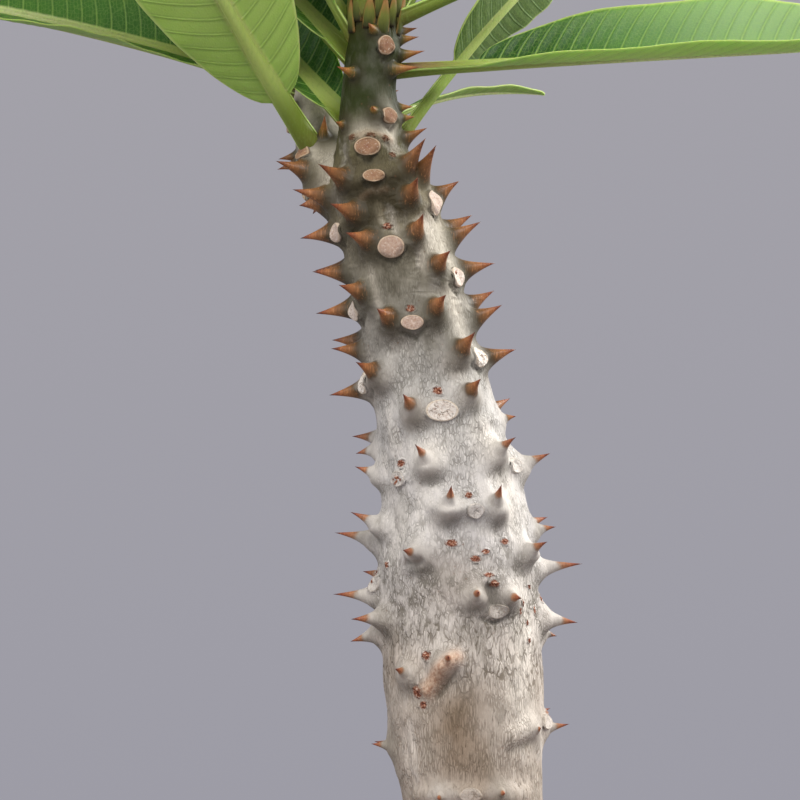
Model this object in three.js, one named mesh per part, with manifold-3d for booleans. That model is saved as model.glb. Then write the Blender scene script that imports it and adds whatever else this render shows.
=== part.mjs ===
// Potted Pachypodium baronii: a forked, spiny succulent stem with a swollen base, leaves at its top, gritty
// soil and a plain terracotta pot. Millimetres, +Z up. The origin is the centre of the pot's underside.
// -Y is the front. Azimuths are degrees round the stem from the front, positive towards +X.
import * as THREE from 'three';
import { mergeVertices } from 'three/addons/utils/BufferGeometryUtils.js';
import Module from 'manifold-3d';

const wasm = await Module();
wasm.setup();

// Pot and soil
const POT_HEIGHT = 108;
const POT_BASE_RADIUS = 44;
const POT_BODY_TOP_RADIUS = 57;
const POT_RIM_RADIUS = 62;
const POT_RIM_HEIGHT = 22;
const POT_RIM_FLARE = 1.8;
const POT_WALL = 5;
const POT_FLOOR = 6;
const POT_EDGE = 1.5;
const POT_SIDES = 40;
const DRAIN_RADIUS = 4.5;
const DRAIN_OFFSET = 24;
const DRAIN_AZIMUTHS = [60, 180, 300];
const SOIL_TOP = 98;
const SOIL_RELIEF = 1.1;
const SOIL_SIDES = 30;
// Rings of the soil's top, from its edge to its middle: share of the edge's radius, depth below the top, and
// share of the relief
const SOIL_RINGS = [[0.86, 0.4, 1], [0.7, 0, 1], [0.3, 0, 0]];
const SOIL_EDGE_DROP = 1.5;
const SEAT_GAP = 0.3;
const WALL_GAP = 0.5;

// Axis of the trunk and of the second branch: height, x, y and radius
const TRUNK = [
  [30, 0, 0, 2], [50, 0, 0, 6], [66, 0, 0, 14], [80, 0, 0, 24], [94, 0, 0, 31], [106, 0, 0, 33],
  [118, 0.3, 0, 30], [131, 0.3, 0, 23], [148, 0.2, 0, 16.4], [170, 0, 0, 13.6], [180, -0.8, 0, 14.6],
  [190, -1.5, 0, 15.4], [206, -2.3, 0, 15.6], [218, -3.2, -0.8, 15.4], [230, -3.9, -2, 14.2],
  [242, -6.2, -3.8, 12.6], [254, -9, -5.5, 11.3], [266, -11.6, -7.2, 10.6], [280, -15.2, -9, 10.2],
  [292, -18.4, -10.6, 9.2], [300, -20.2, -11.8, 6.8], [310, -20.8, -13.2, 5.6], [320, -19.8, -14.6, 5.1],
  [328, -19.2, -15.8, 4.6], [333, -19, -16.5, 2.2],
];
const BRANCH = [
  [285, -17.5, -9.5, 5.5], [294.5, -26.5, -4, 6], [303, -30.2, 1, 5.2], [312, -31.8, 5, 4.6],
  [323, -31.4, 7.5, 4.2], [328, -31, 8.4, 3.4], [331, -30.8, 8.9, 1.5],
];
const TRUNK_SIDES = 12;
const TRUNK_ROWS = 46;
const BRANCH_SIDES = 10;
const BRANCH_ROWS = 10;

// Thorns of the front: height, azimuth, length, how far the thorn turns round the stem from square to the
// bark, and how far it leans up, in degrees
const THORNS = [
  [321.8, 96, 4.2, -4, 14], [322.4, 3, 4, -28, 14], [318.6, 84, 5.6, 0, 17], [315.5, 50, 6, 30, 10],
  [313.8, -34, 4.6, -20, 6], [307.7, 84, 3.4, 0, 6], [306.3, 16, 2.6, -39, 20], [305.3, 84, 3.4, 0, 4],
  [304.4, -56, 2.6, 15, 13], [300.6, 81, 5.5, -8, 20], [294.7, -48, 8, 8, 29], [294, 44, 8.6, -5, 31],
  [292, -88, 8.8, 3, 27], [291.7, 62, 8.6, -24, 37], [287.9, 29, 8, -6, 22], [287.7, -36, 7.6, -6, 22],
  [287.5, 84, 6.4, 4, 19], [285.9, -86, 8.2, -3, 7], [281.8, -24, 7.6, -20, 20], [280.6, 21, 7.6, 7, 26],
  [278.8, 84, 7.9, 4, 17], [277.5, -84, 7.5, -6, 18], [274, 37, 7.6, -9, 18], [273, 84, 8.1, 4, -3],
  [272.7, -50, 7.6, 5, 20], [271.1, -88, 8.4, 0, 3], [266.5, -24, 7.6, 2, 20], [266.3, 21, 7.4, 3, 19],
  [263.3, 84, 7.4, 4, 13], [262, -84, 7, -6, 16], [257.8, 40, 7.6, -6, 26], [256.8, -52, 7.6, 12, 26],
  [255.6, 84, 7.6, 4, 6], [254.7, -88, 8.6, -4, 3], [249.3, 36, 7.2, -10, 23], [248.9, -20, 7, 9, 31],
  [243.6, 90, 3.4, 0, -2], [243, -96, 5, -2, 2], [238.8, -15, 7.6, 0, 35], [238, -82, 5.6, -6, 28],
  [237.8, 47, 7.8, -11, 21], [234.5, 86, 7.4, 2, 9], [229.1, -4, 7.8, 9, 36], [228.3, 32, 7.8, -16, 35],
  [226, -74, 7.2, -6, 26], [223.5, 94, 5.6, 0, 8], [223, -92, 9.2, 0, 11], [220, -28, 7.4, 0, 8],
  [219, 60, 7.4, -24, 18], [215.5, 88, 9.7, 0, 2], [212.5, -90, 9.5, 0, 7], [211.1, 10, 6, -5, 9],
  [210.5, 34, 7.4, -13, -3], [207.9, -72, 8, 16, 2], [205.7, 86, 7.8, 4, -8], [204.9, -92, 6.8, 1, -13],
  [203.2, 98, 4, 0, -12], [197.8, -14, 5.6, 20, 8], [196, -44, 6, 15, 8], [184, 88, 5.4, 0, 2],
  [183.6, 58, 3.4, -30, 6], [182.8, -84, 4.4, -6, 6], [172.8, -26, 3.4, 0, -10], [172.8, 20, 3.4, 0, -10],
];
// Leaf scars of the front: height, azimuth, half width and half height
const SCARS = [
  [319.8, 26, 1.9, 2], [305.5, 38, 1.9, 1.7], [299.6, -5, 2.7, 1.9], [293.9, -4, 2.3, 1.3],
  [286.1, 62, 2.1, 2.7], [285.6, -68, 1.8, 2], [279.8, -5, 2.7, 2.3], [271.5, 61, 2, 2.1],
  [270.1, -70, 1.7, 2.1], [265.1, -3, 2.3, 1.5], [256.2, 63, 1.9, 2.2], [255.9, -74, 1.7, 2.2],
  [247.7, 6, 3.3, 2.2], [236.9, -46, 2, 1.6], [234.8, 68, 1.7, 1.6], [228.1, 14, 1.8, 1.5],
  [215, -80, 1.7, 1.6], [207.5, 25, 2, 1.4], [185.1, 76, 1.7, 1.5], [172.5, -3, 2.2, 1.4],
];
// Nodes of the back and of the second branch: height and azimuth, each with a scar and a thorn on each side
const BACK_NODES = [
  [322, 150], [310, 178], [292, 172], [289.5, -134], [279.5, 138], [277, -138], [271, -176], [264.5, 136],
  [262.4, -138], [253, -178], [243.5, 150], [243.2, -142], [231, -168], [222.6, 138], [214, -142], [203, 150],
  [194, -150], [185, 138], [181, -126],
];
const BRANCH_NODES = [
  [295.5, -112], [300, -52], [302, -160], [308, 120], [310, -100], [316, 30], [321, 180],
];
// Old nodes of the swollen base, below the young ones, by the same 2/5 turn
const OLD_NODE_TOP = 164;
const OLD_NODE_BOTTOM = 124;
const OLD_NODE_STEP = 7;
const OLD_NODE_TURN = 144;
const OLD_NODE_FIRST = 40;

// Thorns of a node: length by stem height, and how the pair stands
const PAIR_LENGTHS = [
  [118, 2.6], [165, 3.6], [190, 5], [205, 7], [240, 7.6], [296, 8], [303, 4.6], [330, 4.4],
];
const PAIR_SPREAD = 4.8;
const YOUNG_SPREAD = 3;
const YOUNG_HEIGHT = 303;
const PAIR_ABOVE_SCAR = 1.6;
const PAIR_SPLAY = 8;
const PAIR_LEAN = 15;
const NODE_SCAR = [2, 1.7];

// Thorn outlines, radius and distance along a thorn 7.6 long: a plain flare on the young stem, and a short
// thorn on a swollen foot on the old
const THORN_LENGTH = 7.6;
const YOUNG_THORN = [[0, -3], [2.9, -1.6], [1.3, 2.2], [0, THORN_LENGTH]];
const OLD_THORN = [[0, -2.6], [3.8, -1], [2.9, 2], [0.9, 3.6], [0, THORN_LENGTH]];
const OLD_HEIGHT = 246;
const THORN_SIDES = 5;
const THORN_LEAST_WIDTH = 0.35;
const SCAR_RELIEF = 0.4;
const SCAR_DEPTH = 2.4;
const SCAR_FLARE = 1.08;
const SCAR_SIDES = 6;

// Leaves: stem, height, azimuth, rise at the stem and at the tip, turn of the azimuth along the leaf, stalk
// length from the stem's axis, blade length, blade half width, roll (right side up) and fold of the halves
const LEAVES = [
  ['branch', 300.5, -46, 44, 66, 0, 14, 125, 19, -38, 10],
  ['trunk', 304.5, -126, 44, 56, -10, 8, 100, 12.5, 42, 30],
  ['branch', 317, -101, 21, 6, 4, 16, 128, 17, 42, 28],
  ['trunk', 316.8, -116, 45, 58, -10, 9, 92, 11, 42, 30],
  ['trunk', 321.5, -94, 58, 72, -22, 8, 84, 10, 24, 32],
  ['trunk', 325.3, 82, 21, 32, 16, 22, 112, 14, 10, 30],
  ['trunk', 298.5, 110, 56, 30, 24, 25, 118, 13.5, 50, 10],
  ['trunk', 316, 86, 2, 3, 6, 19, 86, 13.8, -37, 30],
  ['trunk', 305, 146, 30, 6, -12, 14, 46, 2.4, 0, 20],
  ['trunk', 317, 172, 54, 34, 0, 16, 104, 15, 0, 28],
  ['trunk', 326, -30, 66, 62, 0, 12, 78, 11, 0, 34],
  ['trunk', 322, 138, 56, 44, 0, 14, 96, 13, 0, 30],
  ['trunk', 326.5, -168, 68, 58, 0, 13, 92, 11, 0, 30],
  ['trunk', 330, 62, 70, 78, 0, 9, 52, 6, 0, 38],
  ['branch', 314, -166, 44, 20, 0, 15, 108, 15, 0, 26],
  ['branch', 319, 160, 58, 30, 0, 14, 100, 13, 0, 28],
  ['branch', 325, -140, 52, 34, 0, 12, 92, 12, 0, 30],
  ['branch', 328, -98, 76, 84, 0, 9, 60, 6.5, 0, 36],
];
const LEAF_START = 0.5;
const LEAF_ROWS_STALK = 2;
const LEAF_ROWS_BLADE = 12;
const BLADE_THICKNESS = 0.7;
const STALK_HALF_WIDTH = 2;
const STALK_DEPTH = 3.2;
const STALK_KEEL = 0.7;
const RIB_TAPER = 0.4;
const RIB_STEP = 0.3;
const RIB_STEP_END = 0.16;
const RIB_DEPTH_TAPER = 0.78;
const FOOT_CURVE = 0.62;
const TIP_CURVE = 0.56;
const SHAPE_PEAK = 0.452;
const MARGIN_WAVE = 0.8;
const MARGIN_WAVES = 3;
const WAVE_SHIFT = 0.37;
const FULL_WAVE_WIDTH = 9;
const LEAST_HALF_BLADE = 0.3;
const YOUNG_LEAF_WIDTH = 24;

const degrees = (angle) => THREE.MathUtils.degToRad(angle);
const point = (x, y, z) => new THREE.Vector3(x, y, z);

// Smooth value of a table's columns at a key in its first column (cubic with central slopes)
function smoothColumns(table, key) {
  const last = table.length - 1;
  let i = 0;
  while (i < last - 1 && key > table[i + 1][0]) i += 1;
  const slope = (k, column) => {
    const a = table[Math.max(k - 1, 0)];
    const b = table[Math.min(k + 1, last)];
    return (b[column] - a[column]) / (b[0] - a[0]);
  };
  const span = table[i + 1][0] - table[i][0];
  const u = THREE.MathUtils.clamp((key - table[i][0]) / span, 0, 1);
  const u2 = u * u;
  const u3 = u2 * u;
  return table[i].slice(1).map((value, index) => {
    const column = index + 1;
    const next = table[i + 1][column];
    return (2 * u3 - 3 * u2 + 1) * value + (u3 - 2 * u2 + u) * span * slope(i, column)
      + (3 * u2 - 2 * u3) * next + (u3 - u2) * span * slope(i + 1, column);
  });
}

// Value between the rows of a short table, in straight steps
function stepColumns(table, key) {
  let i = 0;
  while (i < table.length - 2 && key > table[i + 1][0]) i += 1;
  const u = THREE.MathUtils.clamp((key - table[i][0]) / (table[i + 1][0] - table[i][0]), 0, 1);
  return THREE.MathUtils.lerp(table[i][1], table[i + 1][1], u);
}

// Axis point, radius and cross directions of a stem at a height
function station(axis, height) {
  const [x, y, radius] = smoothColumns(axis, height);
  const [x0, y0] = smoothColumns(axis, height - 0.5);
  const [x1, y1] = smoothColumns(axis, height + 0.5);
  const along = point(x1 - x0, y1 - y0, 1).normalize();
  const right = point(1, 0, 0).addScaledVector(along, -along.x).normalize();
  const back = along.clone().cross(right);
  return { centre: point(x, y, height), radius, along, right, back };
}

// Direction square to the stem's axis at an azimuth
function outward(place, azimuth) {
  const a = degrees(azimuth);
  return place.right.clone().multiplyScalar(Math.sin(a)).addScaledVector(place.back, -Math.cos(a));
}

function geometryOf(points, faces) {
  const geometry = new THREE.BufferGeometry();
  const places = points.flatMap((p) => [p.x, p.y, p.z]);
  geometry.setAttribute('position', new THREE.Float32BufferAttribute(places, 3));
  geometry.setIndex(faces);
  return geometry;
}

// Closed body through equal rings of points, each end closed by a fan round its middle
function loft(rings) {
  const sides = rings[0].length;
  const points = rings.flat();
  const faces = [];
  for (let row = 0; row < rings.length - 1; row += 1) {
    for (let side = 0; side < sides; side += 1) {
      const a = row * sides + side;
      const b = row * sides + ((side + 1) % sides);
      faces.push(a, b, b + sides, a, b + sides, a + sides);
    }
  }
  [0, rings.length - 1].forEach((row) => {
    const middle = points.length;
    const centre = rings[row].reduce((sum, p) => sum.add(p), point(0, 0, 0)).divideScalar(sides);
    points.push(centre);
    for (let side = 0; side < sides; side += 1) {
      const a = row * sides + side;
      const b = row * sides + ((side + 1) % sides);
      faces.push(...(row === 0 ? [b, a, middle] : [a, b, middle]));
    }
  });
  return geometryOf(points, faces);
}

function toSolid(geometry) {
  const plain = geometry.clone();
  plain.deleteAttribute('normal');
  plain.deleteAttribute('uv');
  const merged = mergeVertices(plain, 1e-4);
  return new wasm.Manifold(new wasm.Mesh({
    numProp: 3,
    vertProperties: Float32Array.from(merged.attributes.position.array),
    triVerts: Uint32Array.from(merged.index.array),
  }));
}

function toGeometry(solid) {
  const mesh = solid.getMesh();
  const geometry = new THREE.BufferGeometry();
  geometry.setAttribute('position', new THREE.Float32BufferAttribute(Array.from(mesh.vertProperties), 3));
  geometry.setIndex(Array.from(mesh.triVerts));
  return geometry;
}

const joined = (solids) => solids.reduce((whole, solid) => whole.add(solid));

function makeMesh(name, geometry, look) {
  const material = new THREE.MeshStandardMaterial(look);
  const mesh = new THREE.Mesh(geometry, material);
  mesh.name = name;
  return mesh;
}

// Stem

function stemSkin(axis, sides, rows, extra) {
  const low = axis[0][0] - extra;
  const high = axis[axis.length - 1][0] + extra;
  const rings = [];
  for (let row = 0; row <= rows; row += 1) {
    const place = station(axis, THREE.MathUtils.lerp(low, high, row / rows));
    const ring = [];
    for (let side = 0; side < sides; side += 1) {
      const direction = outward(place, (360 * side) / sides);
      ring.push(place.centre.clone().addScaledVector(direction, place.radius + extra));
    }
    rings.push(ring);
  }
  return toSolid(loft(rings));
}

// Turns a body of revolution from +Y to a direction and sets it at a place
function placed(geometry, direction, origin) {
  const turn = new THREE.Quaternion().setFromUnitVectors(point(0, 1, 0), direction);
  return geometry.applyMatrix4(new THREE.Matrix4().compose(origin, turn, point(1, 1, 1)));
}

function thornSolid(axis, [height, azimuth, length, splay, lean], extra) {
  const place = station(axis, height);
  const size = length / THORN_LENGTH;
  const width = THREE.MathUtils.lerp(THORN_LEAST_WIDTH, 1, size) + extra;
  const root = place.centre.clone().addScaledVector(outward(place, azimuth), place.radius);
  const direction = outward(place, azimuth + splay).multiplyScalar(Math.cos(degrees(lean)))
    .addScaledVector(place.along, Math.sin(degrees(lean)));
  const outline = (height > OLD_HEIGHT ? YOUNG_THORN : OLD_THORN)
    .map(([radius, along]) => new THREE.Vector2(radius * width, along * (size + extra)));
  return toSolid(placed(new THREE.LatheGeometry(outline, THORN_SIDES), direction, root));
}

// Rows for the two thorns of a node, one on each side of its scar
function pairOf(axis, [height, azimuth]) {
  const spread = height > YOUNG_HEIGHT ? YOUNG_SPREAD : PAIR_SPREAD;
  const offset = THREE.MathUtils.radToDeg(spread / station(axis, height).radius);
  const level = height + PAIR_ABOVE_SCAR;
  const length = stepColumns(PAIR_LENGTHS, level);
  return [-1, 1].map((side) => [level, azimuth + side * offset, length, side * PAIR_SPLAY, PAIR_LEAN]);
}

// Leaf scar: a low oval disc that stands a little out of the bark
function scarSolid(axis, [height, azimuth, halfWidth, halfHeight], extra) {
  const place = station(axis, height);
  const direction = outward(place, azimuth);
  const disc = new THREE.CylinderGeometry(1, SCAR_FLARE, SCAR_DEPTH, SCAR_SIDES)
    .scale(halfWidth + extra, 1, halfHeight + extra);
  const rise = place.radius + SCAR_RELIEF + extra - SCAR_DEPTH / 2;
  return toSolid(placed(disc, direction, place.centre.clone().addScaledVector(direction, rise)));
}

function oldNodes() {
  const nodes = [];
  for (let height = OLD_NODE_TOP; height > OLD_NODE_BOTTOM; height -= OLD_NODE_STEP) {
    nodes.push([height, OLD_NODE_FIRST + (OLD_NODE_TURN * (OLD_NODE_TOP - height)) / OLD_NODE_STEP]);
  }
  return nodes;
}

// One stem with all that grows on its bark
function dressedStem(axis, sides, rows, nodes, thorns, scars, extra) {
  const pairs = nodes.flatMap((node) => pairOf(axis, node));
  const nodeScars = nodes.map((node) => [...node, ...NODE_SCAR]);
  return joined([
    stemSkin(axis, sides, rows, extra),
    ...[...thorns, ...pairs].map((thorn) => thornSolid(axis, thorn, extra)),
    ...[...scars, ...nodeScars].map((scar) => scarSolid(axis, scar, extra)),
  ]);
}

function stemSolid(extra) {
  const trunkNodes = [...BACK_NODES, ...oldNodes()];
  return dressedStem(TRUNK, TRUNK_SIDES, TRUNK_ROWS, trunkNodes, THORNS, SCARS, extra)
    .add(dressedStem(BRANCH, BRANCH_SIDES, BRANCH_ROWS, BRANCH_NODES, [], [], extra));
}

// Leaves

// Half width of the blade as a share of the widest, from its foot (0) to its tip (1)
const bladeShape = (v) => (v ** FOOT_CURVE * (1 - v) ** TIP_CURVE) / SHAPE_PEAK;

// Rings of one leaf: a round stalk that runs on as the midrib, with a waved half blade on each side
function leafRings([stem, height, azimuth, rise, tipRise, turn, stalk, blade, halfWidth, roll, fold], index) {
  const place = station(stem === 'trunk' ? TRUNK : BRANCH, height);
  const length = stalk + blade;
  const rows = [];
  for (let i = 0; i < LEAF_ROWS_STALK; i += 1) rows.push((stalk * i) / LEAF_ROWS_STALK);
  for (let i = 0; i <= LEAF_ROWS_BLADE; i += 1) rows.push(stalk + (blade * i) / LEAF_ROWS_BLADE);
  const young = Math.min(1, 0.5 + halfWidth / YOUNG_LEAF_WIDTH);
  const centre = place.centre.clone().addScaledVector(outward(place, azimuth), LEAF_START * place.radius);
  let before = 0;
  return rows.map((s) => {
    const t = s / length;
    const heading = degrees(azimuth + turn * t);
    const slope = degrees(THREE.MathUtils.lerp(rise, tipRise, t));
    const level = point(Math.sin(heading), -Math.cos(heading), 0);
    const along = level.clone().multiplyScalar(Math.cos(slope)).add(point(0, 0, Math.sin(slope)));
    centre.addScaledVector(along, s - before);
    before = s;
    const flatSide = point(level.y, -level.x, 0);
    const flatUp = flatSide.clone().cross(along);
    const tilt = degrees(roll);
    const side = flatSide.clone().multiplyScalar(Math.cos(tilt)).addScaledVector(flatUp, Math.sin(tilt));
    const up = flatUp.clone().multiplyScalar(Math.cos(tilt)).addScaledVector(flatSide, -Math.sin(tilt));
    const v = Math.max((s - stalk) / blade, 0);
    const rib = STALK_HALF_WIDTH * young * (1 - RIB_TAPER * t - RIB_STEP * Math.min(v / RIB_STEP_END, 1));
    const depth = STALK_DEPTH * young * (1 - RIB_DEPTH_TAPER * t ** 0.7);
    const width = v > 0 && v < 1 ? halfWidth * bladeShape(v) : LEAST_HALF_BLADE;
    const wave = v > 0 ? MARGIN_WAVE * Math.min(width / FULL_WAVE_WIDTH, 1) : 0;
    const at = (across, lift) => centre.clone().addScaledVector(side, across).addScaledVector(up, lift);
    const margin = (sign) => {
      const phase = 2 * Math.PI * (MARGIN_WAVES * v + WAVE_SHIFT * index) + sign;
      const lift = width * Math.sin(degrees(fold)) + wave * Math.sin(phase);
      return [sign * (rib + width * Math.cos(degrees(fold))), lift];
    };
    const half = BLADE_THICKNESS / 2;
    const [rightOut, rightLift] = margin(1);
    const [leftOut, leftLift] = margin(-1);
    return [
      at(leftOut, leftLift + half), at(-rib, half), at(rib, half), at(rightOut, rightLift + half),
      at(rightOut, rightLift - half), at(rib, -half), at(0, -half - depth * STALK_KEEL), at(-rib, -half),
      at(leftOut, leftLift - half),
    ];
  });
}

// Pot

function potSolid() {
  const bandFoot = POT_HEIGHT - POT_RIM_HEIGHT;
  const outline = [
    [0, 0], [POT_BASE_RADIUS - POT_EDGE, 0], [POT_BASE_RADIUS, POT_EDGE],
    [POT_BODY_TOP_RADIUS, bandFoot], [POT_RIM_RADIUS - POT_RIM_FLARE, bandFoot + POT_EDGE / 2],
    [POT_RIM_RADIUS, POT_HEIGHT - POT_EDGE], [POT_RIM_RADIUS - POT_EDGE, POT_HEIGHT],
    [POT_RIM_RADIUS - POT_WALL, POT_HEIGHT], [POT_RIM_RADIUS - POT_WALL - POT_EDGE, POT_HEIGHT - POT_EDGE],
    [innerRadius(bandFoot), bandFoot], [innerRadius(POT_FLOOR), POT_FLOOR], [0, POT_FLOOR],
  ];
  const shell = toSolid(new THREE.LatheGeometry(outline.map(([r, z]) => new THREE.Vector2(r, z)), POT_SIDES)
    .rotateX(Math.PI / 2));
  const drains = DRAIN_AZIMUTHS.map((azimuth) => toSolid(
    new THREE.CylinderGeometry(DRAIN_RADIUS, DRAIN_RADIUS, 4 * POT_FLOOR, 12).rotateX(Math.PI / 2)
      .translate(DRAIN_OFFSET * Math.sin(degrees(azimuth)), -DRAIN_OFFSET * Math.cos(degrees(azimuth)), 0),
  ));
  return drains.reduce((whole, drain) => whole.subtract(drain), shell);
}

// Inner radius of the pot's wall below its rim band
function innerRadius(height) {
  const bandFoot = POT_HEIGHT - POT_RIM_HEIGHT;
  return THREE.MathUtils.mapLinear(height, 0, bandFoot, POT_BASE_RADIUS, POT_BODY_TOP_RADIUS) - POT_WALL;
}

// Soil: fills the pot to its top with a gap to the wall, with low relief and a hole that follows the stem
function soilSolid() {
  const bandFoot = POT_HEIGHT - POT_RIM_HEIGHT;
  const ring = (radius, height, relief) => Array.from({ length: SOIL_SIDES }, (_, side) => {
    const a = (2 * Math.PI * side) / SOIL_SIDES;
    const bump = relief * (Math.sin(5 * a + radius * 0.21) + Math.sin(3 * a - radius * 0.35 + 1));
    return point(radius * Math.sin(a), -radius * Math.cos(a), height + bump * 0.5);
  });
  const foot = POT_FLOOR + SEAT_GAP;
  const topRadius = innerRadius(bandFoot) - WALL_GAP;
  const body = toSolid(loft([
    ring(innerRadius(foot) - WALL_GAP, foot, 0),
    ring(topRadius, bandFoot, 0),
    ring(topRadius, SOIL_TOP - SOIL_EDGE_DROP, 0),
    ...SOIL_RINGS.map(([share, drop, lift]) => ring(topRadius * share, SOIL_TOP - drop, SOIL_RELIEF * lift)),
  ]));
  return body.subtract(stemSkin(TRUNK, TRUNK_SIDES, TRUNK_ROWS, SEAT_GAP));
}

const plant = new THREE.Group();
plant.add(makeMesh('pot', toGeometry(potSolid()), { color: 0xb5633f, roughness: 0.9, metalness: 0 }));
plant.add(makeMesh('soil', toGeometry(soilSolid()), { color: 0x4a4038, roughness: 1, metalness: 0 }));
plant.add(makeMesh('stem', toGeometry(stemSolid(0)), { color: 0xa29c92, roughness: 0.75, metalness: 0 }));

const stemClearance = stemSolid(SEAT_GAP);
LEAVES.forEach((leaf, index) => {
  const name = `leaf_${String(index + 1).padStart(2, '0')}`;
  const solid = toSolid(loft(leafRings(leaf, index))).subtract(stemClearance);
  plant.add(makeMesh(name, toGeometry(solid), { color: 0x5a8a3a, roughness: 0.45, metalness: 0 }));
});

export default plant;
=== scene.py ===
"""Looks of a potted Pachypodium baronii: cracked silver bark, thorns on swollen feet, leaf scars, veined
leaves, gritty soil and a terracotta pot. Tables are in millimetres, and the meshes in metres."""

import math
from functools import cache

import bpy
import numpy as np
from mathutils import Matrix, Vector, noise
from mathutils.bvhtree import BVHTree


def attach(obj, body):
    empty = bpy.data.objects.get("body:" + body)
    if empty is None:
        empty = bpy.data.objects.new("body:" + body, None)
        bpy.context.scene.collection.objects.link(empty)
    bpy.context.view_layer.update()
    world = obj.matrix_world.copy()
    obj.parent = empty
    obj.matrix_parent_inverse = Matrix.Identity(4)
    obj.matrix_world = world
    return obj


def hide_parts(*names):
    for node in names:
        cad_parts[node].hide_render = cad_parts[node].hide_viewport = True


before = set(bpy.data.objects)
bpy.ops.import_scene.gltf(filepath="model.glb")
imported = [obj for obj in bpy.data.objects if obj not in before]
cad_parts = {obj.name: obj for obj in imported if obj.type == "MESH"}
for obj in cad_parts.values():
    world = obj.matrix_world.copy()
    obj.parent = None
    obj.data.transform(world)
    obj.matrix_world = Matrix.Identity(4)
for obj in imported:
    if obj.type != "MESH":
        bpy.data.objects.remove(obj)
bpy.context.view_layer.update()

bl_info = {
    "name": "Potted Pachypodium",
    "version": (1, 0, 0),
    "blender": (4, 5, 0),
    "location": "View3D > Sidebar > Pachypodium",
    "description": "Builds the bark, thorns, scars, leaves, soil and pot of a potted Pachypodium baronii",
    "category": "Object",
}

MM = 0.001

# Pot and soil, as in the part
POT_HEIGHT = 108
POT_BASE_RADIUS = 44
POT_BODY_TOP_RADIUS = 57
POT_RIM_RADIUS = 62
POT_RIM_HEIGHT = 22
POT_RIM_FLARE = 1.8
POT_WALL = 5
POT_FLOOR = 6
POT_EDGE = 1.5
DRAIN_RADIUS = 4.5
DRAIN_OFFSET = 24
DRAIN_AZIMUTHS = (60, 180, 300)
SOIL_TOP = 98
SOIL_GAP = 0.3

# Axis of the trunk and of the second branch: height, x, y and radius
TRUNK = [
    (30, 0, 0, 2), (50, 0, 0, 6), (66, 0, 0, 14), (80, 0, 0, 24), (94, 0, 0, 31), (106, 0, 0, 33),
    (118, 0.3, 0, 30), (131, 0.3, 0, 23), (148, 0.2, 0, 16.4), (170, 0, 0, 13.6), (180, -0.8, 0, 14.6),
    (190, -1.5, 0, 15.4), (206, -2.3, 0, 15.6), (218, -3.2, -0.8, 15.4), (230, -3.9, -2, 14.2),
    (242, -6.2, -3.8, 12.6), (254, -9, -5.5, 11.3), (266, -11.6, -7.2, 10.6), (280, -15.2, -9, 10.2),
    (292, -18.4, -10.6, 9.2), (300, -20.2, -11.8, 6.8), (310, -20.8, -13.2, 5.6),
    (320, -19.8, -14.6, 5.1), (328, -19.2, -15.8, 4.6), (333, -19, -16.5, 2.2),
]
BRANCH = [
    (285, -17.5, -9.5, 5.5), (294.5, -26.5, -4, 6), (303, -30.2, 1, 5.2), (312, -31.8, 5, 4.6),
    (323, -31.4, 7.5, 4.2), (328, -31, 8.4, 3.4), (331, -30.8, 8.9, 1.5),
]

# Thorns of the front: height, azimuth, length, how far each turns round the stem from square to the
# bark, and how far it leans up
THORNS = [
    (321.8, 96, 4.2, -4, 14), (322.4, 3, 4, -28, 14), (318.6, 84, 5.6, 0, 17), (315.5, 50, 6, 30, 10),
    (313.8, -34, 4.6, -20, 6), (307.7, 84, 3.4, 0, 6), (306.3, 16, 2.6, -39, 20), (305.3, 84, 3.4, 0, 4),
    (304.4, -56, 2.6, 15, 13), (300.6, 81, 5.5, -8, 20), (294.7, -48, 8, 8, 29), (294, 44, 8.6, -5, 31),
    (292, -88, 8.8, 3, 27), (291.7, 62, 8.6, -24, 37), (287.9, 29, 8, -6, 22), (287.7, -36, 7.6, -6, 22),
    (287.5, 84, 6.4, 4, 19), (285.9, -86, 8.2, -3, 7), (281.8, -24, 7.6, -20, 20), (280.6, 21, 7.6, 7, 26),
    (278.8, 84, 7.9, 4, 17), (277.5, -84, 7.5, -6, 18), (274, 37, 7.6, -9, 18), (273, 84, 8.1, 4, -3),
    (272.7, -50, 7.6, 5, 20), (271.1, -88, 8.4, 0, 3), (266.5, -24, 7.6, 2, 20), (266.3, 21, 7.4, 3, 19),
    (263.3, 84, 7.4, 4, 13), (262, -84, 7, -6, 16), (257.8, 40, 7.6, -6, 26), (256.8, -52, 7.6, 12, 26),
    (255.6, 84, 7.6, 4, 6), (254.7, -88, 8.6, -4, 3), (249.3, 36, 7.2, -10, 23), (248.9, -20, 7, 9, 31),
    (243.6, 90, 3.4, 0, -2), (243, -96, 5, -2, 2), (238.8, -15, 7.6, 0, 35), (238, -82, 5.6, -6, 28),
    (237.8, 47, 7.8, -11, 21), (234.5, 86, 7.4, 2, 9), (229.1, -4, 7.8, 9, 36), (228.3, 32, 7.8, -16, 35),
    (226, -74, 7.2, -6, 26), (223.5, 94, 5.6, 0, 8), (223, -92, 9.2, 0, 11), (220, -28, 7.4, 0, 8),
    (219, 60, 7.4, -24, 18), (215.5, 88, 9.7, 0, 2), (212.5, -90, 9.5, 0, 7), (211.1, 10, 6, -5, 9),
    (210.5, 34, 7.4, -13, -3), (207.9, -72, 8, 16, 2), (205.7, 86, 7.8, 4, -8), (204.9, -92, 6.8, 1, -13),
    (203.2, 98, 4, 0, -12), (197.8, -14, 5.6, 20, 8), (196, -44, 6, 15, 8), (184, 88, 5.4, 0, 2),
    (183.6, 58, 3.4, -30, 6), (182.8, -84, 4.4, -6, 6), (172.8, -26, 3.4, 0, -10), (172.8, 20, 3.4, 0, -10),
]
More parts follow.
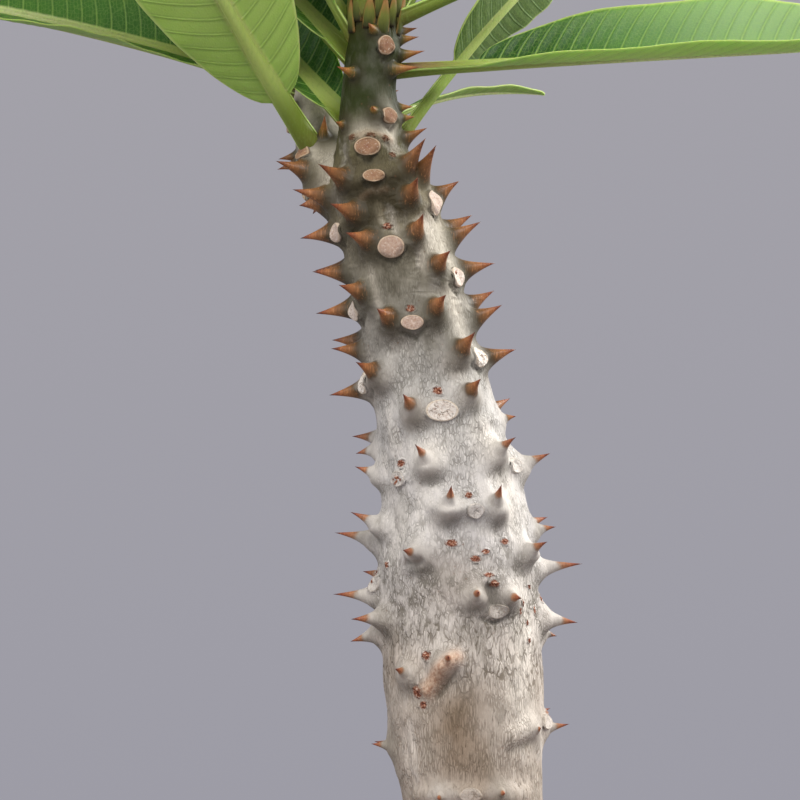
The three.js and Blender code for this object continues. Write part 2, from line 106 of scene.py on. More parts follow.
# Leaf scars of the front: height, azimuth, half width and half height
SCARS = [
    (319.8, 26, 1.9, 2), (305.5, 38, 1.9, 1.7), (299.6, -5, 2.7, 1.9), (293.9, -4, 2.3, 1.3),
    (286.1, 62, 2.1, 2.7), (285.6, -68, 1.8, 2), (279.8, -5, 2.7, 2.3), (271.5, 61, 2, 2.1),
    (270.1, -70, 1.7, 2.1), (265.1, -3, 2.3, 1.5), (256.2, 63, 1.9, 2.2), (255.9, -74, 1.7, 2.2),
    (247.7, 6, 3.3, 2.2), (236.9, -46, 2, 1.6), (234.8, 68, 1.7, 1.6), (228.1, 14, 1.8, 1.5),
    (215, -80, 1.7, 1.6), (207.5, 25, 2, 1.4), (185.1, 76, 1.7, 1.5), (172.5, -3, 2.2, 1.4),
]
# Nodes of the back and of the second branch: height and azimuth, each with a scar and a thorn on each side
BACK_NODES = [
    (322, 150), (310, 178), (292, 172), (289.5, -134), (279.5, 138), (277, -138), (271, -176), (264.5, 136),
    (262.4, -138), (253, -178), (243.5, 150), (243.2, -142), (231, -168), (222.6, 138), (214, -142),
    (203, 150), (194, -150), (185, 138), (181, -126),
]
BRANCH_NODES = [(295.5, -112), (300, -52), (302, -160), (308, 120), (310, -100), (316, 30), (321, 180)]
OLD_NODE_HEIGHTS = range(164, 124, -7)
OLD_NODE_FIRST = 40
OLD_NODE_TURN = 144

# Thorns of a node: length by stem height, and how the pair stands
PAIR_LENGTHS = [(118, 2.6), (165, 3.6), (190, 5), (205, 7), (240, 7.6), (296, 8), (303, 4.6), (330, 4.4)]
PAIR_SPREAD = 4.8
YOUNG_SPREAD = 3
YOUNG_HEIGHT = 303
PAIR_ABOVE_SCAR = 1.6
PAIR_SPLAY = 8
PAIR_LEAN = 15
NODE_SCAR = (2, 1.7)
THORN_LENGTH = 7.6

# By stem height, for a thorn of the common length: height and half width of the swollen foot, half width of
# the horn's flare, and how fast the flare narrows
FOOT_HEIGHTS = [
    (118, 1.2), (172, 1.7), (185, 2.2), (205, 3.4), (240, 3.1), (252, 1.7), (285, 1.2), (303, 0.8),
    (330, 0.3),
]
FOOT_WIDTHS = [(118, 3.4), (190, 3), (240, 2.8), (252, 2.9), (300, 2.8), (330, 2.1)]
HORN_WIDTHS = [
    (118, 1.7), (205, 1.9), (240, 2.1), (250, 2.8), (258, 3.1), (296, 3.3), (303, 2.6), (330, 2.1),
]
HORN_CURVES = [(205, 2.3), (240, 2.5), (255, 2.6), (300, 2.5), (330, 2.1)]

# Ridges of the bark: half width, height, share of bare cork, and the height and azimuth of points along
# each
RIDGES = [
    (1.5, 1.3, 1, ((192.6, -28), (194.4, -22), (196.6, -15), (198.6, -6))),
    (1.6, 0.7, 0, ((173, -50), (173.1, -4), (171.7, 40))),
    (2.0, 0.9, 0, ((182.8, 32), (183.6, 42), (184.3, 52))),
    (0.8, 0.7, 0.25, ((301.6, -30), (302.2, -8), (301.6, 10), (300.4, 30))),
    (0.7, 0.5, 0.1, ((290.2, -26), (291.2, -10), (290.6, 8))),
    (1.0, 0.6, 0, ((243.4, 40), (244.4, 52), (243.6, 64))),
    (1.2, 0.6, 0, ((229.8, -16), (228.6, -4), (229.4, 12), (229.2, 26))),
    (1.3, 0.5, 0, ((214.6, 16), (213.8, 24), (214.4, 32))),
]
# Pits and creases of the bark: half width, depth, and the height and azimuth of points along each
CREASES = [
    (0.8, 1.5, ((218.6, -37), (218.2, -30), (218.8, -25))),
    (1.3, 1.1, ((212.6, 20), (210.8, 23), (208.8, 24))),
    (1.0, 0.3, ((180.4, 32), (180.9, 43), (181.6, 53))),
    (0.6, 0.6, ((191.4, -22), (193.4, -14), (196, -6))),
    (0.5, 0.5, ((206.2, 13), (205.2, 24), (206.4, 33))),
    (0.4, 0.4, ((235, -24), (234.4, -16), (235, -6))),
]

# Collars of the young nodes, from this height up. A collar and the crease under it each run through points
# given by their azimuth from the scar and their drop below its middle, and have a half width and a height
COLLAR_FROM = 248
COLLAR_LINE = ((-26, 0.2), (0, 1.2), (26, 0.2))
COLLAR = (1.9, 0.7)
LEDGE_LINE = ((-13, 1.2), (0, 3), (13, 1.2))
LEDGE = (0.55, -0.6)

# Stains and painted highlights of the bark: height, azimuth, half width, half height, and how much darker
# (below 0) or paler it is. The broad pale ones on the right side, from azimuth 38 to 66, are partly painted
# highlight where the light from the right falls
STAINS_AND_HIGHLIGHTS = [
    (184, -12, 6, 8, -0.9), (190, -2, 5, 4, -0.4), (175, 12, 8, 4, -0.4), (194, 44, 3.5, 12, 0.8),
    (207, 52, 4, 8, 0.6), (230, 50, 4, 9, 0.7), (225, -48, 5, 8, 0.5), (241, -10, 5, 4, 0.5),
    (243, 38, 3, 6, 0.7),
    (266, 46, 3, 5, 0.9), (280, 38, 3.2, 7, 1.5), (275, 66, 2.6, 5, 0.9), (288, 64, 2.2, 6, 0.9),
    (303, -12, 4, 2, 0.5), (302, 40, 2, 6, 0.9), (284, 4, 0.9, 4, 0.9), (285, -8, 0.8, 3.4, 0.9),
    (276.5, 22, 0.8, 4, 0.9), (272, -34, 0.9, 6, 0.9), (290.6, 44, 1.2, 4, 0.9), (258, 60, 3, 5, 0.8),
    (272, -64, 3, 6, 0.6), (284, -30, 4, 4, -0.9), (291, -16, 5, 3, -1.3), (289, 22, 5, 4, -1.3),
    (218, -12, 6, 4, -0.3), (213, 0, 8, 5, -0.4), (250, -40, 3, 9, 0.3), (296.8, -5, 4, 1.6, -0.6),
    (246, 150, 8, 12, -0.5), (220, -150, 9, 12, 0.5), (196, 130, 8, 14, -0.6), (268, 170, 6, 10, 0.5),
]

# Small rough marks on the bark: height, azimuth, half width and half height
BUD_MARKS = [
    (267.7, -2, 1.1, 0.9), (251.5, 7, 1.3, 1.0), (239.7, -42, 1.3, 0.9), (236.8, -46, 2.0, 1.4),
    (231.3, 12, 1.0, 0.8), (213.4, 24, 1.0, 0.9), (218.3, -62, 0.9, 0.9), (215.8, -86, 1.6, 2.0),
    (199.2, -27, 1.4, 1.1), (186.5, 83, 0.8, 1.4), (272.5, 60, 0.9, 0.8), (283.8, -4, 1.2, 0.8),
]
CRUSTS = [
    (221.9, -4, 1.5, 0.9), (221.8, 38, 1.3, 0.8), (218.6, 13, 1.4, 0.8), (219.9, 21, 1.0, 0.7),
    (215.2, 21, 1.4, 0.6), (209, 50, 0.5, 0.9), (205, 54, 0.4, 0.8), (207.4, 66, 0.4, 1.1),
    (209.5, 80, 0.5, 0.9), (207.2, 46, 0.5, 1.0), (201.4, 54, 0.4, 0.7), (212, 60, 0.4, 0.6),
    (301.8, -30, 1.2, 0.8), (301.6, 2, 1.3, 0.8), (300.8, 24, 1.1, 0.9), (297.2, 30, 1.0, 0.8),
    (192.4, -36, 1.3, 1.6), (190, -33, 0.9, 1.0), (243, 120, 1.2, 0.9), (226, -130, 1.4, 1.1),
    (212, 170, 1.1, 1.0), (258, -155, 1.2, 0.9), (234, 104, 0.9, 1.1),
]

# Leaves: stem, height, azimuth, rise at the stem and at the tip, turn along the leaf, stalk length, blade
# length, blade half width, roll (right side up) and fold of the halves
LEAVES = [
    ("branch", 300.5, -46, 44, 66, 0, 14, 125, 19, -38, 10),
    ("trunk", 304.5, -126, 44, 56, -10, 8, 100, 12.5, 42, 30),
    ("branch", 317, -101, 21, 6, 4, 16, 128, 17, 42, 28),
    ("trunk", 316.8, -116, 45, 58, -10, 9, 92, 11, 42, 30),
    ("trunk", 321.5, -94, 58, 72, -22, 8, 84, 10, 24, 32),
    ("trunk", 325.3, 82, 21, 32, 16, 22, 112, 14, 10, 30),
    ("trunk", 298.5, 110, 56, 30, 24, 25, 118, 13.5, 50, 10),
    ("trunk", 316, 86, 2, 3, 6, 19, 86, 13.8, -37, 30),
    ("trunk", 305, 146, 30, 6, -12, 14, 46, 2.4, 0, 20),
    ("trunk", 317, 172, 54, 34, 0, 16, 104, 15, 0, 28),
    ("trunk", 326, -30, 66, 62, 0, 12, 78, 11, 0, 34),
    ("trunk", 322, 138, 56, 44, 0, 14, 96, 13, 0, 30),
    ("trunk", 326.5, -168, 68, 58, 0, 13, 92, 11, 0, 30),
    ("trunk", 330, 62, 70, 78, 0, 9, 52, 6, 0, 38),
    ("branch", 314, -166, 44, 20, 0, 15, 108, 15, 0, 26),
    ("branch", 319, 160, 58, 30, 0, 14, 100, 13, 0, 28),
    ("branch", 325, -140, 52, 34, 0, 12, 92, 12, 0, 30),
    ("branch", 328, -98, 76, 84, 0, 9, 60, 6.5, 0, 36),
]
# Leaves that differ from the rest, by their row: darker tone (painted shade on the seventh row), painted
# light (light through the underside, shade near the stalk and a pale sheen farther out on the upper side,
# with a brown blush at the stalk's foot), slimmer stalk, and calmer margin
LEAF_TONES_AND_SHADE = {0: 0.0, 1: 0.0, 2: 0.1, 3: 0.05, 4: 0.0, 6: 0.95, 7: 0.0}
LEAF_PAINTED_LIGHT_AND_BLUSH = {7: 0.9}
LEAF_SLIMNESS = {5: 0.78, 6: 0.62, 7: 0.8, 8: 0.8}
LEAF_CALM = {7: 0.35}

# Shape that the leaves share
LEAF_START = 0.5
STALK_HALF_WIDTH = 2
STALK_DEPTH = 3.2
STALK_KEEL = 0.7
SOCKET_SWELL = 0.22
SOCKET_LENGTH = 7
RIB_TAPER = 0.4
RIB_STEP = 0.3
RIB_STEP_END = 0.16
RIB_DEPTH_TAPER = 0.78
RIB_TIP = 0.3
FOOT_CURVE = 0.62
TIP_CURVE = 0.56
SHAPE_PEAK = 0.452
MARGIN_WAVE = 0.8
MARGIN_WAVES = 3
WAVE_SHIFT = 0.37
FULL_WAVE_WIDTH = 9
MARGIN_RUFFLE = 0.2
MARGIN_RUFFLES = 13
QUILT_DEPTH = 0.16
RIB_CROWN = 0.22
RIB_BORDER = 0.2
EDGE_OVERHANG = 0.1
YOUNG_LEAF_WIDTH = 24

# Camera that the view was fitted with, in millimetres and degrees
CAMERA_AIM = (-14.4, -5, 250)
CAMERA_DISTANCE = 450
CAMERA_TILT = 8
CAMERA_LENS = 101.25

# Stage in metres: the floor's sides, thickness and inner rings, the place and size of each light, and the
# rise of sight over which the backdrop changes
FLOOR_SIDES = 96
FLOOR_THICKNESS = 0.02
FLOOR_INNER_RINGS = (0.5, 0.01)
LIGHTS = {
    "side_light": ((0.8, 0.25, 0.75), 0.5),
    "key_light": ((0.2, -0.8, 0.95), 0.6),
    "fill_light": ((-0.9, -0.5, 0.6), 0.9),
}
BACKDROP_RISE = (-0.1, 0.4)


def srgb(red, green, blue):
    """Linear colour of a display colour given in 0 to 255."""
    shares = (channel / 255 for channel in (red, green, blue))
    return tuple(s / 12.92 if s <= 0.04045 else ((s + 0.055) / 1.055) ** 2.4 for s in shares)


def unit(vectors):
    """Vectors scaled to a length of 1."""
    return vectors / np.linalg.norm(vectors, axis=-1, keepdims=True)


def steps(table, key):
    """Value between the rows of a two-column table, in straight steps."""
    return np.interp(key, [row[0] for row in table], [row[1] for row in table])


def ease(value, low, high):
    """0 below low, 1 above high, and smooth between."""
    share = np.clip((value - low) / (high - low), 0, 1)
    return share * share * (3 - 2 * share)


def noise_at(points, grain, seed=0.0):
    """Smooth noise from -1 to 1 at points in millimetres, with grains of the given sizes on each axis."""
    scaled = np.asarray(points) / np.asarray(grain, float) + seed
    return np.array([noise.noise(p) for p in scaled.reshape(-1, 3).tolist()]).reshape(scaled.shape[:-1])


class Axis:
    """A stem's curved axis, with the thorns and scars on its bark."""

    def __init__(self, table, nodes, thorns=(), scars=()):
        self.table = np.array(table, float)
        pairs = [row for node in nodes for row in self.pair(*node)]
        self.thorns = [self.thorn(*row) for row in (*thorns, *pairs)]
        self.scars = [*scars, *((*node, *NODE_SCAR) for node in nodes)]

    def columns(self, height):
        """The table's x, y and radius at each height, on a smooth curve through its rows."""
        keys = self.table[:, 0]
        last = len(keys) - 1
        i = np.clip(np.searchsorted(keys, height) - 1, 0, last - 1)
        span = (keys[i + 1] - keys[i])[:, None]
        u = np.clip((height - keys[i])[:, None] / span, 0, 1)

        def slope(k):
            low = self.table[np.maximum(k - 1, 0)]
            high = self.table[np.minimum(k + 1, last)]
            return (high - low)[:, 1:] / (high - low)[:, :1]

        here = self.table[i][:, 1:]
        there = self.table[i + 1][:, 1:]
        return ((2 * u**3 - 3 * u**2 + 1) * here + (u**3 - 2 * u**2 + u) * span * slope(i)
                + (3 * u**2 - 2 * u**3) * there + (u**3 - u**2) * span * slope(i + 1))

    def place(self, height):
        """Centre, radius, direction along the axis, and its right and back directions, at each height."""
        height = np.atleast_1d(np.asarray(height, float))
        x, y, radius = self.columns(height).T
        lean = (self.columns(height + 0.5) - self.columns(height - 0.5))[:, :2]
        along = unit(np.column_stack([lean, np.ones(len(height))]))
        right = unit(np.array([1.0, 0, 0]) - along * along[:, :1])
        return np.column_stack([x, y, height]), radius, along, right, np.cross(along, right)

    def outward(self, height, azimuth):
        """Direction square to the axis at one height and azimuth."""
        _, _, _, right, back = self.place(height)
        angle = math.radians(azimuth)
        return right[0] * math.sin(angle) - back[0] * math.cos(angle)

    def root(self, height, azimuth):
        """Point of the smooth bark at one height and azimuth."""
        centre, radius, *_ = self.place(height)
        return centre[0] + self.outward(height, azimuth) * radius[0]

    def pair(self, height, azimuth):
        """Rows for the two thorns of a node, one on each side of its scar."""
        spread = YOUNG_SPREAD if height > YOUNG_HEIGHT else PAIR_SPREAD
        offset = math.degrees(spread / self.place(height)[1][0])
        level = height + PAIR_ABOVE_SCAR
        length = float(steps(PAIR_LENGTHS, level))
        return [(level, azimuth + side * offset, length, side * PAIR_SPLAY, PAIR_LEAN) for side in (-1, 1)]

    def thorn(self, height, azimuth, length, splay, lean):
        """A thorn's height, azimuth, length, root and direction."""
        up = math.radians(lean)
        side = self.outward(height, azimuth + splay)
        direction = side * math.cos(up) + self.place(height)[2][0] * math.sin(up)
        return height, azimuth, length, self.root(height, azimuth), direction


OLD_NODES = [
    (height, OLD_NODE_FIRST + OLD_NODE_TURN * step) for step, height in enumerate(OLD_NODE_HEIGHTS)
]
trunk = Axis(TRUNK, BACK_NODES + OLD_NODES, THORNS, SCARS)
branch = Axis(BRANCH, BRANCH_NODES)


# Meshes

def grid_faces(rows, columns):
    """Quads between the rows of a grid of points that closes round its columns."""
    row = np.arange(rows - 1)[:, None] * columns
    column = np.arange(columns)[None, :]
    after = (column + 1) % columns
    corners = np.stack([row + column, row + after, row + after + columns, row + column + columns], -1)
    return corners.reshape(-1, 4).tolist()


def closed_loft(rings):
    """Points and faces of a closed body through equal rings, with a fan over each end."""
    rings = np.asarray(rings, float)
    rows, columns = rings.shape[:2]
    ends = rings[[0, -1]].mean(1)
    points = np.concatenate([rings.reshape(-1, 3), ends])
    faces = grid_faces(rows, columns)
    last = (rows - 1) * columns
    for side in range(columns):
        after = (side + 1) % columns
        faces.append((after, side, rows * columns))
        faces.append((last + side, last + after, rows * columns + 1))
    return points, faces


def merged(parts):
    """Points and faces of several bodies as one."""
    points = np.concatenate([p for p, _ in parts])
    faces = []
    first = 0
    for p, f in parts:
        faces += [tuple(corner + first for corner in face) for face in f]
        first += len(p)
    return points, faces


def add_piece(name, points, faces, finish, replaced=(), marks=None, normals=None):
    """A mesh object in the root body, from points in millimetres, with float attributes for its finish."""
    mesh = bpy.data.meshes.new(name)
    mesh.from_pydata((np.asarray(points) * MM).tolist(), [], faces)
    for key, values in (marks or {}).items():
        layer = mesh.attributes.new(key, "FLOAT", "POINT")
        layer.data.foreach_set("value", np.ascontiguousarray(values, dtype=np.float32).ravel())
    mesh.shade_smooth()
    if normals is not None:
        mesh.normals_split_custom_set_from_vertices(normals.tolist())
    mesh.materials.append(finish)
    piece = bpy.data.objects.new(name, mesh)
    bpy.context.scene.collection.objects.link(piece)
    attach(piece, "root")
    if replaced:
        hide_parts(*replaced)
    return piece


# Shader building

class Value:
    """A shader output that can stand in a Python expression: each operation adds a Math node."""

    def __init__(self, nodes, socket):
        self.nodes = nodes
        self.socket = socket

    def maths(self, operation, first, second=0.0):
        """One Math node's result."""
        return self.nodes.node("ShaderNodeMath", {"operation": operation}, {0: first, 1: second})

    def __add__(self, other):
        return self.maths("ADD", self, other)

    def __sub__(self, other):
        return self.maths("SUBTRACT", self, other)

    def __rsub__(self, other):
        return self.maths("SUBTRACT", other, self)

    def __mul__(self, other):
        return self.maths("MULTIPLY", self, other)

    def __truediv__(self, other):
        return self.maths("DIVIDE", self, other)

    def __abs__(self):
        return self.maths("ABSOLUTE", self)

    __radd__ = __add__
    __rmul__ = __mul__

    def fraction(self):
        """The part after the whole number."""
        return self.maths("FRACT", self)

    def most(self, other):
        """The larger of two values."""
        return self.maths("MAXIMUM", self, other)


def set_stops(ramp, stops):
    """Gives a colour ramp its stops, each a position and a colour."""
    while len(ramp.elements) < len(stops):
        ramp.elements.new(1.0)
    for element, (position, colour) in zip(ramp.elements, stops):
        element.position = position
        element.color = (*colour, 1.0)


class Nodes:
    """Adds nodes to one node tree, and gives their outputs as values."""

    def __init__(self, tree):
        self.tree = tree

    def node(self, kind, settings, inputs, output=0):
        """Adds a node, sets its settings, then its sockets' values or links, and returns one output."""
        node = self.tree.nodes.new(kind)
        for key, setting in settings.items():
            if key == "stops":
                set_stops(node.color_ramp, setting)
            else:
                setattr(node, key, setting)
        for key, value in inputs.items():
            if isinstance(value, Value):
                self.tree.links.new(value.socket, node.inputs[key])
            else:
                node.inputs[key].default_value = value
        return Value(self, node.outputs[output])

    def mix(self, share, first, second):
        """Colour between first (share 0) and second (share 1)."""
        colours = [c if isinstance(c, Value) else (*c, 1.0) for c in (first, second)]
        inputs = {0: share, 6: colours[0], 7: colours[1]}
        return self.node("ShaderNodeMix", {"data_type": "RGBA"}, inputs, 2)


class Finish(Nodes):
    """A procedural material with one shader, whose constants are set on the shader's own sockets."""

    def __init__(self, name, **constants):
        self.material = bpy.data.materials.new(name)
        self.material.use_nodes = True
        super().__init__(self.material.node_tree)
        self.shader = next(n for n in self.tree.nodes if n.type == "BSDF_PRINCIPLED")
        for socket, value in constants.items():
            self.shader.inputs[socket.replace("_", " ")].default_value = value
        self.place = self.node("ShaderNodeTexCoord", {}, {}, "Object")

    def mark(self, name):
        """A float attribute of the mesh."""
        settings = {"attribute_type": "GEOMETRY", "attribute_name": name}
        return self.node("ShaderNodeAttribute", settings, {}, "Fac")

    def height(self):
        """Height above the pot's underside in millimetres."""
        return self.node("ShaderNodeSeparateXYZ", {}, {0: self.place}, 2) / MM

    def stretched(self, grain):
        """Place in grains of the given sizes in millimetres along x, y and z."""
        sizes = tuple(1 / (g * MM) for g in grain)
        return self.node("ShaderNodeVectorMath", {"operation": "MULTIPLY"}, {0: self.place, 1: sizes})

    def grain(self, *sizes, detail=2.0, rough=0.5):
        """Noise from 0 to 1 with grains of the given sizes."""
        inputs = {"Vector": self.stretched(sizes), "Scale": 1.0, "Detail": detail, "Roughness": rough}
        return self.node("ShaderNodeTexNoise", {}, inputs)

    def edges(self, *sizes, warp=0.0, warp_grain=3.0):
        """Distance to the edges of cells of the given sizes, with the cells pushed about by noise."""
        where = self.stretched(sizes)
        if warp:
            inputs = {"Vector": self.stretched((warp_grain,) * 3), "Scale": 1.0, "Detail": 2.0}
            push = self.node("ShaderNodeTexNoise", {}, inputs, 1)
            push = self.node("ShaderNodeVectorMath", {"operation": "SCALE"}, {0: push, "Scale": warp})
            where = self.node("ShaderNodeVectorMath", {"operation": "ADD"}, {0: where, 1: push})
        settings = {"feature": "DISTANCE_TO_EDGE"}
        return self.node("ShaderNodeTexVoronoi", settings, {"Vector": where, "Scale": 1.0})

    def spots(self, size, reach):
        """1 in the middle of scattered round spots, 0 between them."""
        inputs = {"Vector": self.stretched((size,) * 3), "Scale": 1.0}
        distance = self.node("ShaderNodeTexVoronoi", {}, inputs, "Distance")
        return self.ease(distance, reach, 0.0)

    def ease(self, value, low, high):
        """0 at low, 1 at high, and smooth between."""
        settings = {"interpolation_type": "SMOOTHSTEP"}
        return self.node("ShaderNodeMapRange", settings, {0: value, 1: low, 2: high, 3: 0.0, 4: 1.0})

    def ramp(self, value, stops):
        """Colour by a value from 0 to 1."""
        return self.node("ShaderNodeValToRGB", {"stops": stops}, {0: value})

    def bump(self, height, depth, below=None):
        """Normal from a height of 0 to 1 that stands for a depth in millimetres, over another bump."""
        inputs = {"Strength": 1.0, "Distance": depth * MM, "Height": height}
        if below is not None:
            inputs["Normal"] = below
        return self.node("ShaderNodeBump", {}, inputs)

    def wear(self, **links):
        """Links values to the shader's sockets and returns the material."""
        for socket, value in links.items():
            self.tree.links.new(value.socket, self.shader.inputs[socket.replace("_", " ")])
        return self.material


def height_stops(low, high, stops):
    """Ramp stops from 0 to 1 for display colours given by height between low and high."""
    return [((height - low) / (high - low), srgb(*colour)) for height, colour in stops]


# Colours of the bark by height, between the ends of its ramp. The browns at 326 and 334 are painted shade
# in the gaps between the crown's scales
BARK_LOW = 30
BARK_HIGH = 335
BARK_BY_HEIGHT = [
    (30, (150, 136, 118)), (165, (172, 159, 144)), (192, (188, 176, 162)), (206, (201, 192, 182)),
    (222, (203, 197, 191)), (246, (196, 191, 184)), (260, (154, 149, 139)), (276, (134, 127, 109)),
    (290, (128, 117, 92)), (300, (88, 84, 54)), (307, (38, 46, 8)), (320, (36, 44, 6)), (326, (52, 46, 16)),
    (334, (70, 58, 32)),
]

# Heights over which the bark and what grows on it change, on their way up the stem
ROUGH_TO_SILVER = (192, 210)
NET_SETS_IN = (196, 210)
NET_FADES = (252, 274)
STROKES_SET_IN = (184, 196)
STROKES_FADE = (222, 236)
CRACKS_TURN_GREY = (180, 225)
CRACKS_CALM = (208, 222)
TURNS_GREEN = (250, 270)
TURNS_YOUNG = (298, 308)
FEET_TURN_DARK = (244, 262)
SCARS_STAND_CLEAR = (236, 246)
CRUSTS_TURN_DARK = (284, 296)
HORN_TURNS_BROWN = (238, 252)
HORN_TURNS_OLIVE = (280, 300)
HORN_TURNS_FRESH = (299, 307)


def bark_coat(finish):
    """Colour, relief and crack share of the bark at a point, by height up the stem."""
    height = finish.height()
    base = finish.ramp((height - BARK_LOW) / (BARK_HIGH - BARK_LOW),
                       height_stops(BARK_LOW, BARK_HIGH, BARK_BY_HEIGHT))
    low = 1 - finish.ease(height, *ROUGH_TO_SILVER)
    net = finish.ease(height, *NET_SETS_IN) * (1 - finish.ease(height, *NET_FADES) * 0.75)
    green = finish.ease(height, *TURNS_GREEN)
    young = finish.ease(height, *TURNS_YOUNG)
    foot = finish.mark("foot")

    blotch = finish.grain(7.0, 7.0, 11.0, detail=4.0, rough=0.62)
    pale = finish.ease(blotch, 0.5, 0.7) * (1 - young * 0.85)
    dull = finish.ease(blotch, 0.5, 0.3)
    base = finish.mix(pale * 0.45, base, srgb(222, 214, 202))
    base = finish.mix(dull * (1 - young) * (green * 0.25 + 0.4), base,
                      finish.mix(green, srgb(118, 112, 98), srgb(62, 55, 38)))
    tawny = finish.ease(finish.grain(13.0, 13.0, 17.0, detail=2.0), 0.48, 0.66) * low
    base = finish.mix(tawny * 0.35, base, srgb(150, 126, 100))
    # Stains pale or darken the bark; the broad pale ones on the right side are partly painted highlight
    stain = finish.mark("stain") * (finish.ease(blotch, 0.25, 0.6) * 0.6 + 0.55)
    pale_stain_and_highlight = finish.mix(green, srgb(226, 217, 203), srgb(208, 198, 180))
    base = finish.mix(stain.most(0.0) * 0.9, base, pale_stain_and_highlight)
    # Darker tone for the dark stains and for the halo round the young feet, the halo partly painted shade
    darker_tone = finish.mix(green, srgb(122, 102, 80), srgb(48, 42, 26))
    base = finish.mix((stain * -1).most(0.0) * 0.8, base, darker_tone)

    cells = finish.edges(0.62, 0.62, 1.5, warp=1.3, warp_grain=1.9)
    broken = finish.ease(finish.grain(1.1, 1.1, 1.8, detail=2.0), 0.38, 0.52) * 0.6 + 0.4
    cell_line = finish.ease(cells, 0.19, 0.04) * broken
    wrinkles = finish.edges(0.46, 0.46, 2.7, warp=0.8, warp_grain=2.6)
    wrinkle_line = finish.ease(wrinkles, 0.17, 0.03)
    streak = finish.grain(0.4, 0.4, 3.2, detail=3.0, rough=0.65)
    streak_dark = finish.ease(streak, 0.45, 0.28)
    patchy = finish.ease(finish.grain(3.6, 3.6, 4.4, detail=2.0), 0.32, 0.6)
    cracks = cell_line * net * (patchy * 0.7 + 0.3)
    cracks = cracks.most(wrinkle_line * (patchy * 0.5 + 0.1) * (1 - young))
    strokes = finish.edges(0.95, 0.95, 3.6, warp=1.7, warp_grain=3.4)
    stroke_zone = finish.ease(height, *STROKES_SET_IN) * (1 - finish.ease(height, *STROKES_FADE))
    stroke_line = finish.ease(strokes, 0.15, 0.03) * stroke_zone * broken
    cracks = cracks.most(stroke_line * (patchy * 0.5 + 0.5))
    cracks = cracks.most(streak_dark * (low * 0.6 + 0.22))
    cracks = cracks * (1 - foot * 0.8) * (1 - finish.ease(height, *CRACKS_CALM) * 0.3)
    dark = finish.mix(finish.ease(height, *CRACKS_TURN_GREY), srgb(92, 78, 60), srgb(88, 84, 72))
    dark = finish.mix(green, dark, srgb(50, 45, 30))
    colour = finish.mix(cracks * 0.84, base, dark)

    speck = finish.spots(1.9, 0.16) * finish.ease(finish.grain(12.0, 12.0, 12.0), 0.5, 0.62)
    colour = finish.mix(speck * 0.6, colour, srgb(112, 76, 52))
    old_foot = finish.mix(finish.ease(blotch, 0.35, 0.65), srgb(132, 124, 111), srgb(182, 174, 163))
    foot_tone = finish.mix(finish.ease(height, *FEET_TURN_DARK), old_foot, srgb(66, 59, 40))
    foot_tone = finish.mix(young, foot_tone, srgb(44, 40, 22))
    colour = finish.mix(finish.ease(foot, 0.0, 0.9) * (green * 0.25 + 0.6), colour, foot_tone)
    # Painted shade darkens the bark's folds
    folds = finish.edges(3.6, 3.6, 1.5, warp=1.2, warp_grain=4.0)
    shaded_fold = finish.ease(folds, 0.34, 0.04) * green * (1 - young) * finish.ease(blotch, 0.36, 0.6)
    colour = finish.mix(shaded_fold * 0.4, colour, srgb(60, 51, 33))
    colour = finish.mix(finish.mark("shade") * 0.62, colour, srgb(70, 66, 52))
    flake = finish.grain(0.7, 0.7, 0.7, detail=3.0, rough=0.6)
    cork = finish.mix(finish.ease(flake, 0.36, 0.62), srgb(168, 124, 94), srgb(206, 174, 146))
    colour = finish.mix(finish.mark("cork") * 0.8, colour, cork)

    relief = (1 - cracks) * 0.7 + streak * 0.3 - shaded_fold * 0.5
    return colour, relief, cracks


def bark_finish(settings):
    """The bark's coat with a thin tint over it, matt in its cracks."""
    finish = Finish("bark", Specular_IOR_Level=0.12)
    colour, relief, cracks = bark_coat(finish)
    colour = finish.mix(settings.bark_tint_share, colour, tuple(settings.bark_tint))
    rough = 0.46 + cracks * 0.25 + finish.grain(2.0, 2.0, 3.0) * 0.2
    grit = finish.grain(0.35, 0.35, 0.5, detail=3.0)
    normal = finish.bump(relief, settings.crack_depth / MM, finish.bump(grit, 0.05))
    return finish.wear(Base_Color=colour, Roughness=rough, Normal=normal)


